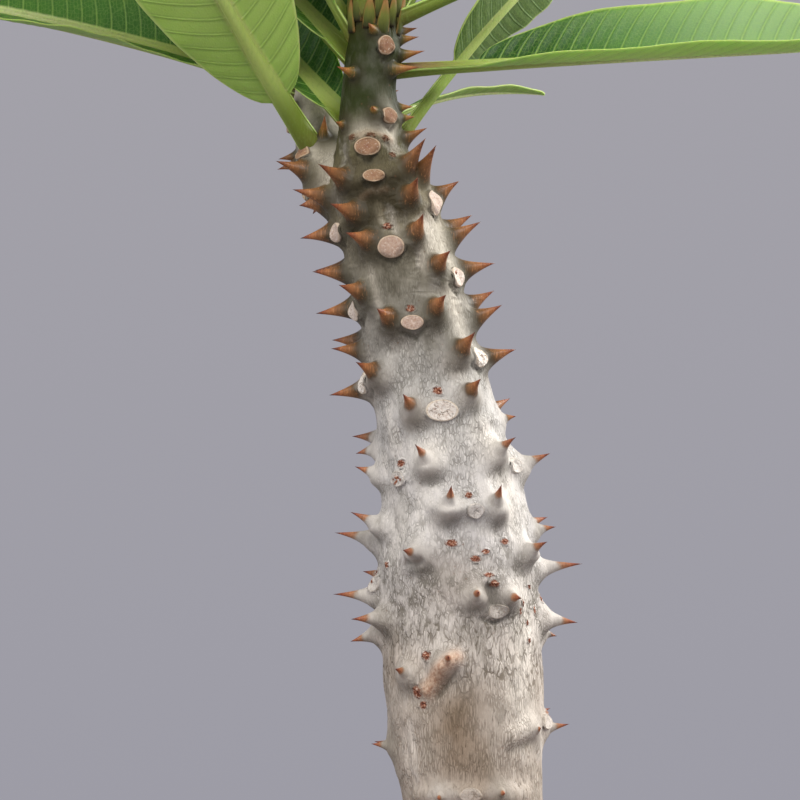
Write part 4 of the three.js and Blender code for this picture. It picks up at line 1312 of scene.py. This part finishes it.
def leaf_finish(settings):
    """Glossy green above with pale side veins, paler and matt below, with a thick pale midrib."""
    finish = Finish("leaf_skin", Specular_IOR_Level=0.22, Subsurface_Weight=0.5,
                    Subsurface_Radius=(0.6, 1.0, 0.25), Subsurface_Scale=0.0015)
    upper = finish.mark("upper")
    reach = finish.mark("reach")
    rib = finish.mark("rib")
    stalk = finish.mark("stalk")
    length = finish.mark("length")
    beat = abs(finish.mark("vein").fraction() - 0.5) * 2
    vein = finish.ease(beat, 0.8, 0.97)
    hair_vein = finish.ease(abs((finish.mark("vein") * 4).fraction() - 0.5), 0.36, 0.48)

    cloud = finish.grain(11.0, 11.0, 11.0, detail=3.0)
    top = finish.mix(cloud, tuple(settings.upper_colour), srgb(76, 122, 40))
    cloud = finish.grain(14.0, 14.0, 14.0)
    below = finish.mix(cloud, tuple(settings.under_colour), srgb(142, 164, 82))
    green = finish.mix(finish.ease(upper, 0.3, 0.7), below, top)
    fresh = finish.ease(reach, 0.45, 1.0) * 0.25 + finish.ease(length, 0.5, 1.0) * 0.2
    green = finish.mix(fresh, green, srgb(140, 168, 72))
    root_shade = finish.ease(length, 0.5, 0.12) * upper
    green = finish.mix(root_shade * 0.65, green, srgb(30, 70, 12))
    # On the leaf with painted light: painted light through the underside, painted shade on the upper side
    # near the stalk, and a pale painted sheen farther out on the upper side
    lit = finish.mark("flush") * (1 - upper) * finish.ease(length, 0.15, 0.4)
    green = finish.mix(lit * 0.45, green, srgb(176, 200, 84))
    deep = finish.mark("flush") * upper * finish.ease(length, 0.56, 0.22)
    green = finish.mix(deep * 0.9, green, srgb(20, 56, 6))
    paling = finish.mark("flush") * upper * finish.ease(length, 0.35, 0.75)
    green = finish.mix(paling * 0.5, green, srgb(160, 184, 134))
    # Tone darkens some leaves a little; on the seventh it is painted shade
    tone = finish.mark("tone")
    green = finish.mix(tone * 0.85, green, srgb(40, 68, 10))
    shadow = finish.ease(beat, 0.5, 0.86) * (1 - vein) * 0.22
    green = finish.mix(shadow, green, srgb(44, 84, 24))
    pale = srgb(152, 178, 88)
    fading = finish.grain(5.0, 5.0, 5.0) * 0.6 + 0.35
    vein_share = vein * fading * (0.38 + upper * 0.2) * (1 - reach * 0.45) * (1 - tone * 0.9)
    green = finish.mix(vein_share, green, pale)
    green = finish.mix(hair_vein * 0.1, green, pale)
    net_vein = finish.ease(finish.edges(1.1, 1.1, 1.1, warp=0.6, warp_grain=2.0), 0.1, 0.02)
    green = finish.mix(net_vein * 0.12, green, pale)
    margin = finish.ease(reach, 0.94, 0.995)
    green = finish.mix(margin * 0.7, green, srgb(176, 190, 112))

    rib_tone = finish.mix(finish.ease(length, 0.2, 0.55), srgb(148, 162, 84), srgb(188, 198, 134))
    stalk_tone = finish.ramp(length, [
        (0.0, srgb(96, 90, 40)), (0.05, srgb(104, 118, 38)), (0.13, srgb(122, 142, 58)),
        (0.3, srgb(146, 160, 82)),
    ])
    rib_tone = finish.mix(stalk, rib_tone, stalk_tone)
    line = finish.grain(0.5, 0.5, 3.0, detail=2.0)
    rib_tone = finish.mix(finish.ease(line, 0.45, 0.7) * 0.3, rib_tone, srgb(120, 140, 70))
    # A brown blush at the foot of that leaf's stalk
    flush = finish.mark("flush") * finish.ease(length, 0.2, 0.02) * upper
    rib_tone = finish.mix(flush, rib_tone, srgb(120, 84, 64))
    colour = finish.mix(finish.ease(rib, 0.3, 0.9), green, rib_tone)

    fleck = finish.spots(9.0, 0.05) * (1 - rib)
    colour = finish.mix(fleck * 0.8, colour, srgb(96, 70, 34))
    rough = 0.5 - upper * 0.16 + finish.grain(6.0, 6.0, 6.0) * 0.14
    skin_grain = finish.edges(0.6, 0.6, 0.6)
    relief = skin_grain * 0.5 + vein * (1 - upper * 2) * 0.8
    return finish.wear(Base_Color=colour, Roughness=rough, Normal=finish.bump(relief, 0.09))


# Pot and soil

BAND_FOOT = POT_HEIGHT - POT_RIM_HEIGHT
POT_SIDES = 160
POT_SPACING = 1.3
THROWING_LINES = 0.1
DRAIN_SIDES = 32
DRILL_PAST = 5


def inner_radius(height):
    """Inner radius of the pot's wall below its rim band."""
    return POT_BASE_RADIUS + (POT_BODY_TOP_RADIUS - POT_BASE_RADIUS) * height / BAND_FOOT - POT_WALL


def smooth_outline(corners, spacing):
    """Points along an outline of straight runs, a spacing apart, with its corners eased."""
    corners = np.array(corners, float)
    runs = []
    for start, end in zip(corners[:-1], corners[1:]):
        count = max(2, int(np.linalg.norm(end - start) / spacing) + 1)
        runs.append(start + (end - start) * np.linspace(0, 1, count)[:-1, None])
    line = np.concatenate(runs + [corners[-1:]])
    for _ in range(2):
        line[1:-1] = (line[:-2] + 2 * line[1:-1] + line[2:]) / 4
    return line


def pot_rings():
    """Rings of the pot from the middle of its underside, over the rim, to the middle of its floor."""
    mouth = POT_RIM_RADIUS - POT_WALL
    line = smooth_outline([
        (2, 0), (POT_BASE_RADIUS - POT_EDGE, 0), (POT_BASE_RADIUS, POT_EDGE),
        (POT_BODY_TOP_RADIUS, BAND_FOOT), (POT_RIM_RADIUS - POT_RIM_FLARE, BAND_FOOT + POT_EDGE / 2),
        (POT_RIM_RADIUS, POT_HEIGHT - POT_EDGE), (POT_RIM_RADIUS - POT_EDGE, POT_HEIGHT),
        (mouth, POT_HEIGHT), (mouth - POT_EDGE, POT_HEIGHT - POT_EDGE),
        (inner_radius(BAND_FOOT), BAND_FOOT), (inner_radius(POT_FLOOR), POT_FLOOR), (2, POT_FLOOR),
    ], POT_SPACING)
    radius, height = line.T
    wall = (height > 3) & (height < POT_HEIGHT - 2) & (radius > POT_BASE_RADIUS - POT_WALL - 1)
    turning = np.sin(height * 2.3) * 0.6 + np.sin(height * 0.87 + 1) * 0.4
    radius = radius + np.where(wall, turning * THROWING_LINES, 0)
    angle = np.arange(POT_SIDES) * 2 * math.pi / POT_SIDES
    wobble = 1 + 0.0012 * np.sin(2 * angle + 0.6) + 0.0007 * np.sin(5 * angle)
    x = radius[:, None] * np.sin(angle) * wobble
    y = -radius[:, None] * np.cos(angle) * wobble
    return np.stack([x, y, np.repeat(height[:, None], POT_SIDES, 1)], -1)


def drain_drill(azimuth):
    """Points and faces of a drill through the pot's floor."""
    angle = math.radians(azimuth)
    x = DRAIN_OFFSET * math.sin(angle)
    y = -DRAIN_OFFSET * math.cos(angle)
    turns = np.linspace(0, 2 * math.pi, DRAIN_SIDES + 1)[:-1]
    return closed_loft([
        [(x + DRAIN_RADIUS * math.cos(turn), y + DRAIN_RADIUS * math.sin(turn), z) for turn in turns]
        for z in (-DRILL_PAST, POT_FLOOR + DRILL_PAST)
    ])


# Heights over which the clay's bloom and its damp foot set in or end
BLOOM_SETS_IN = (74, 88)
BLOOM_FADES = (99, 106)
FOOT_BLOOM_FADES = (4, 26)
DAMP_FADES = (12, 34)


def clay_finish(settings):
    """Unglazed terracotta: sandy clay with throwing lines, pale lime bloom and a damp foot."""
    finish = Finish("terracotta", Specular_IOR_Level=0.25)
    height = finish.height()
    cloud = finish.grain(22.0, 22.0, 16.0, detail=4.0, rough=0.6)
    clay = finish.mix(cloud, tuple(settings.clay_colour), srgb(196, 118, 82))
    sand = finish.grain(0.7, 0.7, 0.7, detail=3.0, rough=0.7)
    clay = finish.mix(finish.ease(sand, 0.5, 0.72) * 0.35, clay, srgb(222, 158, 120))
    clay = finish.mix(finish.ease(sand, 0.44, 0.3) * 0.3, clay, srgb(120, 62, 42))
    lines = finish.grain(60.0, 60.0, 1.1, detail=2.0)
    clay = finish.mix(finish.ease(lines, 0.5, 0.7) * 0.16, clay, srgb(150, 84, 58))
    bloom_zone = finish.ease(height, *BLOOM_SETS_IN) * (1 - finish.ease(height, *BLOOM_FADES) * 0.6)
    bloom_zone = bloom_zone.most((1 - finish.ease(height, *FOOT_BLOOM_FADES)) * 0.7)
    bloom = finish.ease(finish.grain(7.0, 7.0, 5.0, detail=5.0, rough=0.68), 0.5, 0.66) * bloom_zone
    clay = finish.mix(bloom * settings.bloom, clay, srgb(226, 208, 192))
    damp = 1 - finish.ease(height + cloud * 18.0, *DAMP_FADES)
    clay = finish.mix(damp * 0.3, clay, srgb(132, 70, 48))
    relief = lines * 0.6 + sand * 0.4
    pit = finish.spots(3.4, 0.1)
    normal = finish.bump(relief - pit * 0.7, 0.16)
    return finish.wear(Base_Color=clay, Roughness=0.82 + sand * 0.14, Normal=normal)


SOIL_SIDES = 120
SOIL_INNER = 29
SOIL_DISH = 1.2
CRUMB_LIFT = 1.0
GRIT_INNER = 31.5


def soil_rings():
    """Rings of the soil from the middle of its foot, up the wall and in over its crumbly top."""
    foot = POT_FLOOR + SOIL_GAP
    wall = inner_radius(BAND_FOOT) - SOIL_GAP
    low = [(inner_radius(foot) * share - SOIL_GAP, foot) for share in (0.1, 0.5, 1)]
    side = [(inner_radius(h) - SOIL_GAP, h) for h in np.linspace(foot + 6, BAND_FOOT, 12)]
    top = [(r, SOIL_TOP - SOIL_DISH * ((r - 30) / 25) ** 2) for r in np.linspace(wall, SOIL_INNER, 26)]
    profile = np.array(low + side + top)
    angle = np.arange(SOIL_SIDES) * 2 * math.pi / SOIL_SIDES
    radius = profile[:, :1] * np.ones(SOIL_SIDES)
    rings = np.stack([radius * np.sin(angle), -radius * np.cos(angle), profile[:, 1:] + 0 * radius], -1)
    crumb = noise_at(rings, (4, 4, 4), 2.2) * 0.8 + noise_at(rings, (1.6, 1.6, 1.6), 4.1) * 0.5
    on_top = (profile[:, 1] > SOIL_TOP - 2) & (profile[:, 0] < wall - 0.5)
    rings[..., 2] += crumb * CRUMB_LIFT * on_top[:, None]
    return rings


def soil_finish(settings):
    """Dark crumbly soil with a few tan fibres."""
    finish = Finish("gritty_soil", Specular_IOR_Level=0.2)
    crumb = finish.grain(1.2, 1.2, 1.2, detail=4.0, rough=0.7)
    colour = finish.ramp(crumb, [
        (0.25, srgb(26, 20, 16)), (0.5, srgb(62, 49, 39)), (0.7, srgb(102, 84, 66)),
    ])
    colour = finish.mix(0.25, colour, tuple(settings.soil_colour))
    fibre = finish.ease(finish.grain(0.4, 3.0, 0.6, detail=2.0), 0.6, 0.72)
    colour = finish.mix(fibre * 0.5, colour, srgb(120, 92, 62))
    return finish.wear(Base_Color=colour, Roughness=0.85 + crumb * 0.12, Normal=finish.bump(crumb, 0.8))


def grit_finish():
    """Mixed grit: cream pumice, brown baked clay, dark lava and grey gravel, by each stone's own tint."""
    finish = Finish("mixed_grit", Specular_IOR_Level=0.25)
    kind = finish.ramp(finish.mark("tint"), [
        (0.0, srgb(206, 196, 172)), (0.3, srgb(190, 178, 150)), (0.34, srgb(156, 112, 70)),
        (0.62, srgb(134, 92, 58)), (0.66, srgb(66, 44, 38)), (0.82, srgb(84, 58, 50)),
        (0.86, srgb(128, 124, 118)), (1.0, srgb(150, 148, 142)),
    ])
    pore = finish.grain(0.6, 0.6, 0.6, detail=4.0, rough=0.7)
    colour = finish.mix(finish.ease(pore, 0.48, 0.3) * 0.6, kind, srgb(60, 48, 40))
    colour = finish.mix(finish.ease(pore, 0.56, 0.75) * 0.3, colour, srgb(226, 220, 206))
    return finish.wear(Base_Color=colour, Roughness=0.8 + pore * 0.15, Normal=finish.bump(pore, 0.4))


def stone_shape():
    """Points and faces of a ball of 42 points, to be worn into stones."""
    golden = (1 + math.sqrt(5)) / 2
    corners = [(a, b * golden, 0) for a in (-1, 1) for b in (-1, 1)]
    corners = [c[k:] + c[:k] for k in range(3) for c in corners]
    points = [unit(np.array(c, float)) for c in corners]
    faces = []
    for i in range(12):
        for j in range(i + 1, 12):
            for k in range(j + 1, 12):
                a, b, c = points[i], points[j], points[k]
                if max(np.linalg.norm(a - b), np.linalg.norm(b - c), np.linalg.norm(a - c)) < 1.1:
                    outwards = np.dot(np.cross(b - a, c - a), a + b + c) > 0
                    faces.append((i, j, k) if outwards else (i, k, j))
    middle = {}

    def between(i, j):
        key = (min(i, j), max(i, j))
        if key not in middle:
            middle[key] = len(points)
            points.append(unit(points[i] + points[j]))
        return middle[key]

    finer = []
    for i, j, k in faces:
        a, b, c = between(i, j), between(j, k), between(k, i)
        finer += [(i, a, c), (j, b, a), (k, c, b), (a, b, c)]
    return np.array(points), finer


def grit_stones(count, size, seed=11):
    """Stones scattered over the soil between the stem and the pot, seeded, with a tint for each point."""
    draw = np.random.default_rng(seed)
    ball, ball_faces = stone_shape()
    parts = []
    tints = []
    for order in range(count):
        half = size * (0.35 + 0.65 * draw.random() ** 1.6)
        inner = GRIT_INNER + half
        outer = inner_radius(SOIL_TOP - 2) - 1 - half * 0.4
        radius = math.sqrt(inner**2 + (outer**2 - inner**2) * draw.random())
        angle = draw.random() * 2 * math.pi
        turn = np.linalg.qr(draw.normal(size=(3, 3)))[0]
        turn = turn * np.sign(np.linalg.det(turn))
        flat = np.array([1, 0.75 + 0.25 * draw.random(), 0.55 + 0.3 * draw.random()])
        shape = ball * flat * (1 + 0.2 * noise_at(ball * 1.4 + order, (1, 1, 1)))[:, None]
        middle = np.array([radius * math.sin(angle), -radius * math.cos(angle), SOIL_TOP + half * 0.15])
        parts.append((shape @ turn.T * half + middle, ball_faces))
        tints.append(np.full(len(ball), draw.random()))
    points, faces = merged(parts)
    return points, faces, np.concatenate(tints)


# Settings that a user would change

class StemSettings(bpy.types.PropertyGroup):
    """Looks of the bark."""
    crack_depth: bpy.props.FloatProperty(
        name="Crack depth", description="How deep the fine cracks of the bark read", default=0.00022,
        min=0, max=0.001, precision=5, subtype="DISTANCE", unit="LENGTH")
    bark_tint: bpy.props.FloatVectorProperty(
        name="Bark tint", description="Colour laid thinly over the whole bark", default=srgb(188, 184, 176),
        size=3, min=0, max=1, subtype="COLOR")
    bark_tint_share: bpy.props.FloatProperty(
        name="Bark tint share", description="How much of the tint shows", default=0.0, min=0, max=1,
        subtype="FACTOR")
    mark_height: bpy.props.FloatProperty(
        name="Bark mark height", description="How far bud marks and cork flakes stand out", default=0.00045,
        min=0, max=0.002, precision=5, subtype="DISTANCE", unit="LENGTH")


class LeafSettings(bpy.types.PropertyGroup):
    """Looks of the leaves."""
    upper_colour: bpy.props.FloatVectorProperty(
        name="Upper side", description="Green of the leaves' upper side", default=srgb(46, 92, 24),
        size=3, min=0, max=1, subtype="COLOR")
    under_colour: bpy.props.FloatVectorProperty(
        name="Underside", description="Green of the leaves' underside", default=srgb(132, 160, 70),
        size=3, min=0, max=1, subtype="COLOR")
    vein_spacing: bpy.props.FloatProperty(
        name="Vein spacing", description="Distance between side veins along the midrib", default=0.0034,
        min=0.001, max=0.02, precision=4, subtype="DISTANCE", unit="LENGTH")


class PotSettings(bpy.types.PropertyGroup):
    """Looks of the pot, the soil and the grit."""
    clay_colour: bpy.props.FloatVectorProperty(
        name="Clay", description="Colour of the terracotta", default=srgb(176, 96, 64),
        size=3, min=0, max=1, subtype="COLOR")
    bloom: bpy.props.FloatProperty(
        name="Lime bloom", description="How strong the pale bloom on the clay is", default=0.55, min=0,
        max=1, subtype="FACTOR")
    soil_colour: bpy.props.FloatVectorProperty(
        name="Soil", description="Colour of the soil between the grit", default=srgb(66, 52, 42),
        size=3, min=0, max=1, subtype="COLOR")
    grit_count: bpy.props.IntProperty(
        name="Grit stones", description="Number of stones on the soil", default=620, min=0, max=2000)
    grit_size: bpy.props.FloatProperty(
        name="Grit size", description="Half width of the largest stones", default=0.003, min=0.0005,
        max=0.01, precision=4, subtype="DISTANCE", unit="LENGTH")


class StageSettings(bpy.types.PropertyGroup):
    """The floor, the backdrop and the lights."""
    backdrop_colour: bpy.props.FloatVectorProperty(
        name="Backdrop", description="Colour of the plain backdrop", default=srgb(165, 163, 170),
        size=3, min=0, max=1, subtype="COLOR")
    backdrop_low_colour: bpy.props.FloatVectorProperty(
        name="Low backdrop", description="Colour of the backdrop near the horizon",
        default=srgb(156, 155, 165), size=3, min=0, max=1, subtype="COLOR")
    floor_colour: bpy.props.FloatVectorProperty(
        name="Floor", description="Colour of the plain floor", default=srgb(142, 141, 146),
        size=3, min=0, max=1, subtype="COLOR")
    floor_radius: bpy.props.FloatProperty(
        name="Floor radius", description="Radius of the round floor", default=1.1, min=0.5, max=4.5,
        subtype="DISTANCE", unit="LENGTH")
    side_light: bpy.props.FloatProperty(
        name="Side light", description="Power of the bright light from the right and behind", default=15.0,
        min=0, max=200, unit="POWER")
    key_light: bpy.props.FloatProperty(
        name="Key light", description="Power of the light from the front and above", default=11.0, min=0,
        max=200, unit="POWER")
    fill_light: bpy.props.FloatProperty(
        name="Fill light", description="Power of the wide weak light from the left", default=6.0, min=0,
        max=200, unit="POWER")


# Operators

class PLANT_OT_pot(bpy.types.Operator):
    """Turns the terracotta pot with its rim band, throwing lines and drain holes."""
    bl_idname = "plant.pot"
    bl_label = "Build pot"

    def execute(self, context):
        points, faces = closed_loft(pot_rings())
        clay = clay_finish(context.scene.pot_look)
        pot = add_piece("terracotta_pot", points, faces, clay, ["pot"])
        for azimuth in DRAIN_AZIMUTHS:
            points, faces = drain_drill(azimuth)
            drill_mesh = bpy.data.meshes.new("drain_drill")
            drill_mesh.from_pydata((points * MM).tolist(), [], faces)
            drill = bpy.data.objects.new("drain_drill", drill_mesh)
            context.scene.collection.objects.link(drill)
            cut = pot.modifiers.new("drain", "BOOLEAN")
            cut.operation = "DIFFERENCE"
            cut.solver = "EXACT"
            cut.object = drill
            with context.temp_override(object=pot, active_object=pot, selected_objects=[pot]):
                bpy.ops.object.modifier_apply(modifier=cut.name)
            bpy.data.objects.remove(drill)
        return {"FINISHED"}


class PLANT_OT_soil(bpy.types.Operator):
    """Fills the pot with crumbly soil and a layer of mixed grit."""
    bl_idname = "plant.soil"
    bl_label = "Build soil"

    def execute(self, context):
        look = context.scene.pot_look
        points, faces = closed_loft(soil_rings())
        add_piece("soil_fill", points, faces, soil_finish(look), ["soil"])
        points, faces, tint = grit_stones(look.grit_count, look.grit_size / MM)
        add_piece("soil_grit", points, faces, grit_finish(), marks={"tint": tint})
        return {"FINISHED"}


class PLANT_OT_stem(bpy.types.Operator):
    """Grows the swollen base, the trunk and the second branch with their cracked bark."""
    bl_idname = "plant.stem"
    bl_label = "Build stem"

    def execute(self, context):
        finish = bark_finish(context.scene.stem_look)
        trunk_skin, branch_skin = finished_bark().skins
        stretches = [
            ("stem_base", trunk_skin, slice(0, BASE_ROWS)),
            ("stem_trunk", trunk_skin, slice(BASE_ROWS - 1, None)),
            ("stem_branch", branch_skin, slice(None)),
        ]
        for name, skin, rows in stretches:
            points, faces, marks, normals = closed_part(*skin, rows)
            add_piece(name, points, faces, finish, ["stem"], marks, normals)
        return {"FINISHED"}


class PLANT_OT_thorns(bpy.types.Operator):
    """Draws the paired thorns out of the bark beside each leaf scar."""
    bl_idname = "plant.thorns"
    bl_label = "Build thorns"

    def execute(self, context):
        horn = thorn_finish()
        for name, axis in (("trunk_thorns", trunk), ("branch_thorns", branch)):
            patches = [thorn_patch(*thorn) for thorn in axis.thorns]
            points, faces, marks = joined_patches(patches)
            add_piece(name, points, faces, horn, ["stem"], marks)
        return {"FINISHED"}


class PLANT_OT_scars(bpy.types.Operator):
    """Sets the leaf scars, bud marks and cork flakes on the bark."""
    bl_idname = "plant.scars"
    bl_label = "Build scars and marks"

    def execute(self, context):
        patches = [scar_patch(axis, *scar, order)
                   for axis in (trunk, branch) for order, scar in enumerate(axis.scars)]
        points, faces, marks = joined_patches(patches)
        add_piece("leaf_scars", points, faces, scar_finish(), ["stem"], marks)
        out = context.scene.stem_look.mark_height / MM
        patches = [crust_patch(trunk, *spot, out * lift, order)
                   for spots, lift in ((BUD_MARKS, BUD_MARK_LIFT), (CRUSTS, CRUST_LIFT))
                   for order, spot in enumerate(spots)]
        points, faces, marks = joined_patches(patches)
        add_piece("bud_marks", points, faces, crust_finish(), ["stem"], marks)
        return {"FINISHED"}


class PLANT_OT_crown(bpy.types.Operator):
    """Closes the top of the trunk with its pointed scales."""
    bl_idname = "plant.crown"
    bl_label = "Build crown"

    def execute(self, context):
        bodies = [closed_loft(bract_rings(order)) for order in range(BRACTS)]
        points, faces = merged(bodies)
        along = np.append(np.repeat(np.linspace(0, 1, BRACT_ROWS), BRACT_SIDES), [0, 1])
        sides = np.abs(np.cos(np.arange(BRACT_SIDES) * 2 * math.pi / BRACT_SIDES))
        edge = np.append(np.tile(sides, BRACT_ROWS), [0, 1])
        marks = {"along": np.tile(along, BRACTS), "edge": np.tile(edge, BRACTS)}
        add_piece("crown_bracts", points, faces, bract_finish(), ["stem"], marks)
        return {"FINISHED"}


class PLANT_OT_leaves(bpy.types.Operator):
    """Grows the leaves of both branches, each a stalk, a midrib and a veined blade."""
    bl_idname = "plant.leaves"
    bl_label = "Build leaves"

    def execute(self, context):
        look = context.scene.leaf_look
        finish = leaf_finish(look)
        for index, leaf in enumerate(LEAVES):
            points, faces, marks = leaf_mesh(leaf, index, look.vein_spacing / MM)
            node = f"leaf_{index + 1:02d}"
            add_piece(f"leaf_blade_{index + 1:02d}", points, faces, finish, [node], marks)
        return {"FINISHED"}


class PLANT_OT_stage(bpy.types.Operator):
    """Sets the camera, the plain floor, the backdrop and the soft lights."""
    bl_idname = "plant.stage"
    bl_label = "Build stage"

    def execute(self, context):
        look = context.scene.stage_look
        self.camera(context)
        self.floor(context, look)
        self.backdrop(context, look)
        for name, (place, size) in LIGHTS.items():
            self.light(context, name, place, size, getattr(look, name))
        context.scene.view_settings.view_transform = "Standard"
        return {"FINISHED"}

    def camera(self, context):
        """The camera at the photo's angle."""
        tilt = math.radians(CAMERA_TILT)
        ahead = Vector((0, math.cos(tilt), math.sin(tilt)))
        camera = bpy.data.objects.new("photo_camera", bpy.data.cameras.new("photo_camera"))
        camera.data.lens = CAMERA_LENS
        camera.data.clip_start = 0.01
        camera.location = (Vector(CAMERA_AIM) - ahead * CAMERA_DISTANCE) * MM
        camera.rotation_euler = (math.pi / 2 + tilt, 0, 0)
        context.scene.collection.objects.link(camera)
        context.scene.camera = camera

    def floor(self, context, look):
        """A round plain floor with a thin edge."""
        angles = np.arange(FLOOR_SIDES) * 2 * math.pi / FLOOR_SIDES
        profile = [(look.floor_radius, -FLOOR_THICKNESS), (look.floor_radius, 0.0)]
        profile += [(radius, 0.0) for radius in FLOOR_INNER_RINGS]
        rings = [[(r * math.sin(a), -r * math.cos(a), z) for a in angles] for r, z in profile]
        points, faces = closed_loft(rings)
        mesh = bpy.data.meshes.new("floor")
        mesh.from_pydata(points.tolist(), [], faces)
        finish = Finish("floor_paper", Specular_IOR_Level=0.2)
        tone = finish.grain(300.0, 300.0, 300.0, detail=2.0)
        colour = finish.mix(tone * 0.12, tuple(look.floor_colour), srgb(182, 181, 188))
        mesh.materials.append(finish.wear(Base_Color=colour, Roughness=0.75 + tone * 0.1))
        floor = bpy.data.objects.new("floor", mesh)
        context.scene.collection.objects.link(floor)

    def backdrop(self, context, look):
        """A plain backdrop, a little darker near the horizon."""
        world = bpy.data.worlds.new("backdrop")
        world.use_nodes = True
        nodes = Nodes(world.node_tree)
        sight = nodes.node("ShaderNodeTexCoord", {}, {}, "Generated")
        rise = nodes.node("ShaderNodeSeparateXYZ", {}, {0: sight}, 2)
        share = nodes.node("ShaderNodeMapRange", {}, {0: rise, 1: BACKDROP_RISE[0], 2: BACKDROP_RISE[1]})
        colour = nodes.mix(share, tuple(look.backdrop_low_colour), tuple(look.backdrop_colour))
        tint = next(n for n in world.node_tree.nodes if n.type == "BACKGROUND")
        world.node_tree.links.new(colour.socket, tint.inputs["Color"])
        context.scene.world = world

    def light(self, context, name, place, size, power):
        """A soft square light that points at the camera's aim."""
        lamp = bpy.data.lights.new(name, "AREA")
        lamp.size = size
        lamp.energy = power
        aim = Vector(CAMERA_AIM) * MM
        lamp_object = bpy.data.objects.new(name, lamp)
        lamp_object.location = place
        lamp_object.rotation_euler = (aim - Vector(place)).to_track_quat("-Z", "Y").to_euler()
        context.scene.collection.objects.link(lamp_object)


class PLANT_PT_panel(bpy.types.Panel):
    """Lists the settings and the steps that build the plant."""
    bl_idname = "PLANT_PT_panel"
    bl_label = "Potted Pachypodium"
    bl_space_type = "VIEW_3D"
    bl_region_type = "UI"
    bl_category = "Pachypodium"

    def draw(self, context):
        for operator in OPERATORS:
            self.layout.operator(operator.bl_idname, text=operator.bl_label)
        for key, group in SETTINGS.items():
            box = self.layout.box()
            for name in group.__annotations__:
                box.prop(getattr(context.scene, key), name)


OPERATORS = (PLANT_OT_pot, PLANT_OT_soil, PLANT_OT_stem, PLANT_OT_thorns, PLANT_OT_scars, PLANT_OT_crown,
             PLANT_OT_leaves, PLANT_OT_stage)
SETTINGS = {"stem_look": StemSettings, "leaf_look": LeafSettings, "pot_look": PotSettings,
            "stage_look": StageSettings}


def register():
    for group in (*SETTINGS.values(), *OPERATORS, PLANT_PT_panel):
        bpy.utils.register_class(group)
    for key, group in SETTINGS.items():
        setattr(bpy.types.Scene, key, bpy.props.PointerProperty(type=group))


def unregister():
    for key in SETTINGS:
        delattr(bpy.types.Scene, key)
    for group in reversed((*SETTINGS.values(), *OPERATORS, PLANT_PT_panel)):
        bpy.utils.unregister_class(group)


def main():
    """Builds every piece."""
    register()
    bpy.ops.plant.pot()
    bpy.ops.plant.soil()
    bpy.ops.plant.stem()
    bpy.ops.plant.thorns()
    bpy.ops.plant.scars()
    bpy.ops.plant.crown()
    bpy.ops.plant.leaves()
    bpy.ops.plant.stage()


if __name__ == "__main__":
    main()
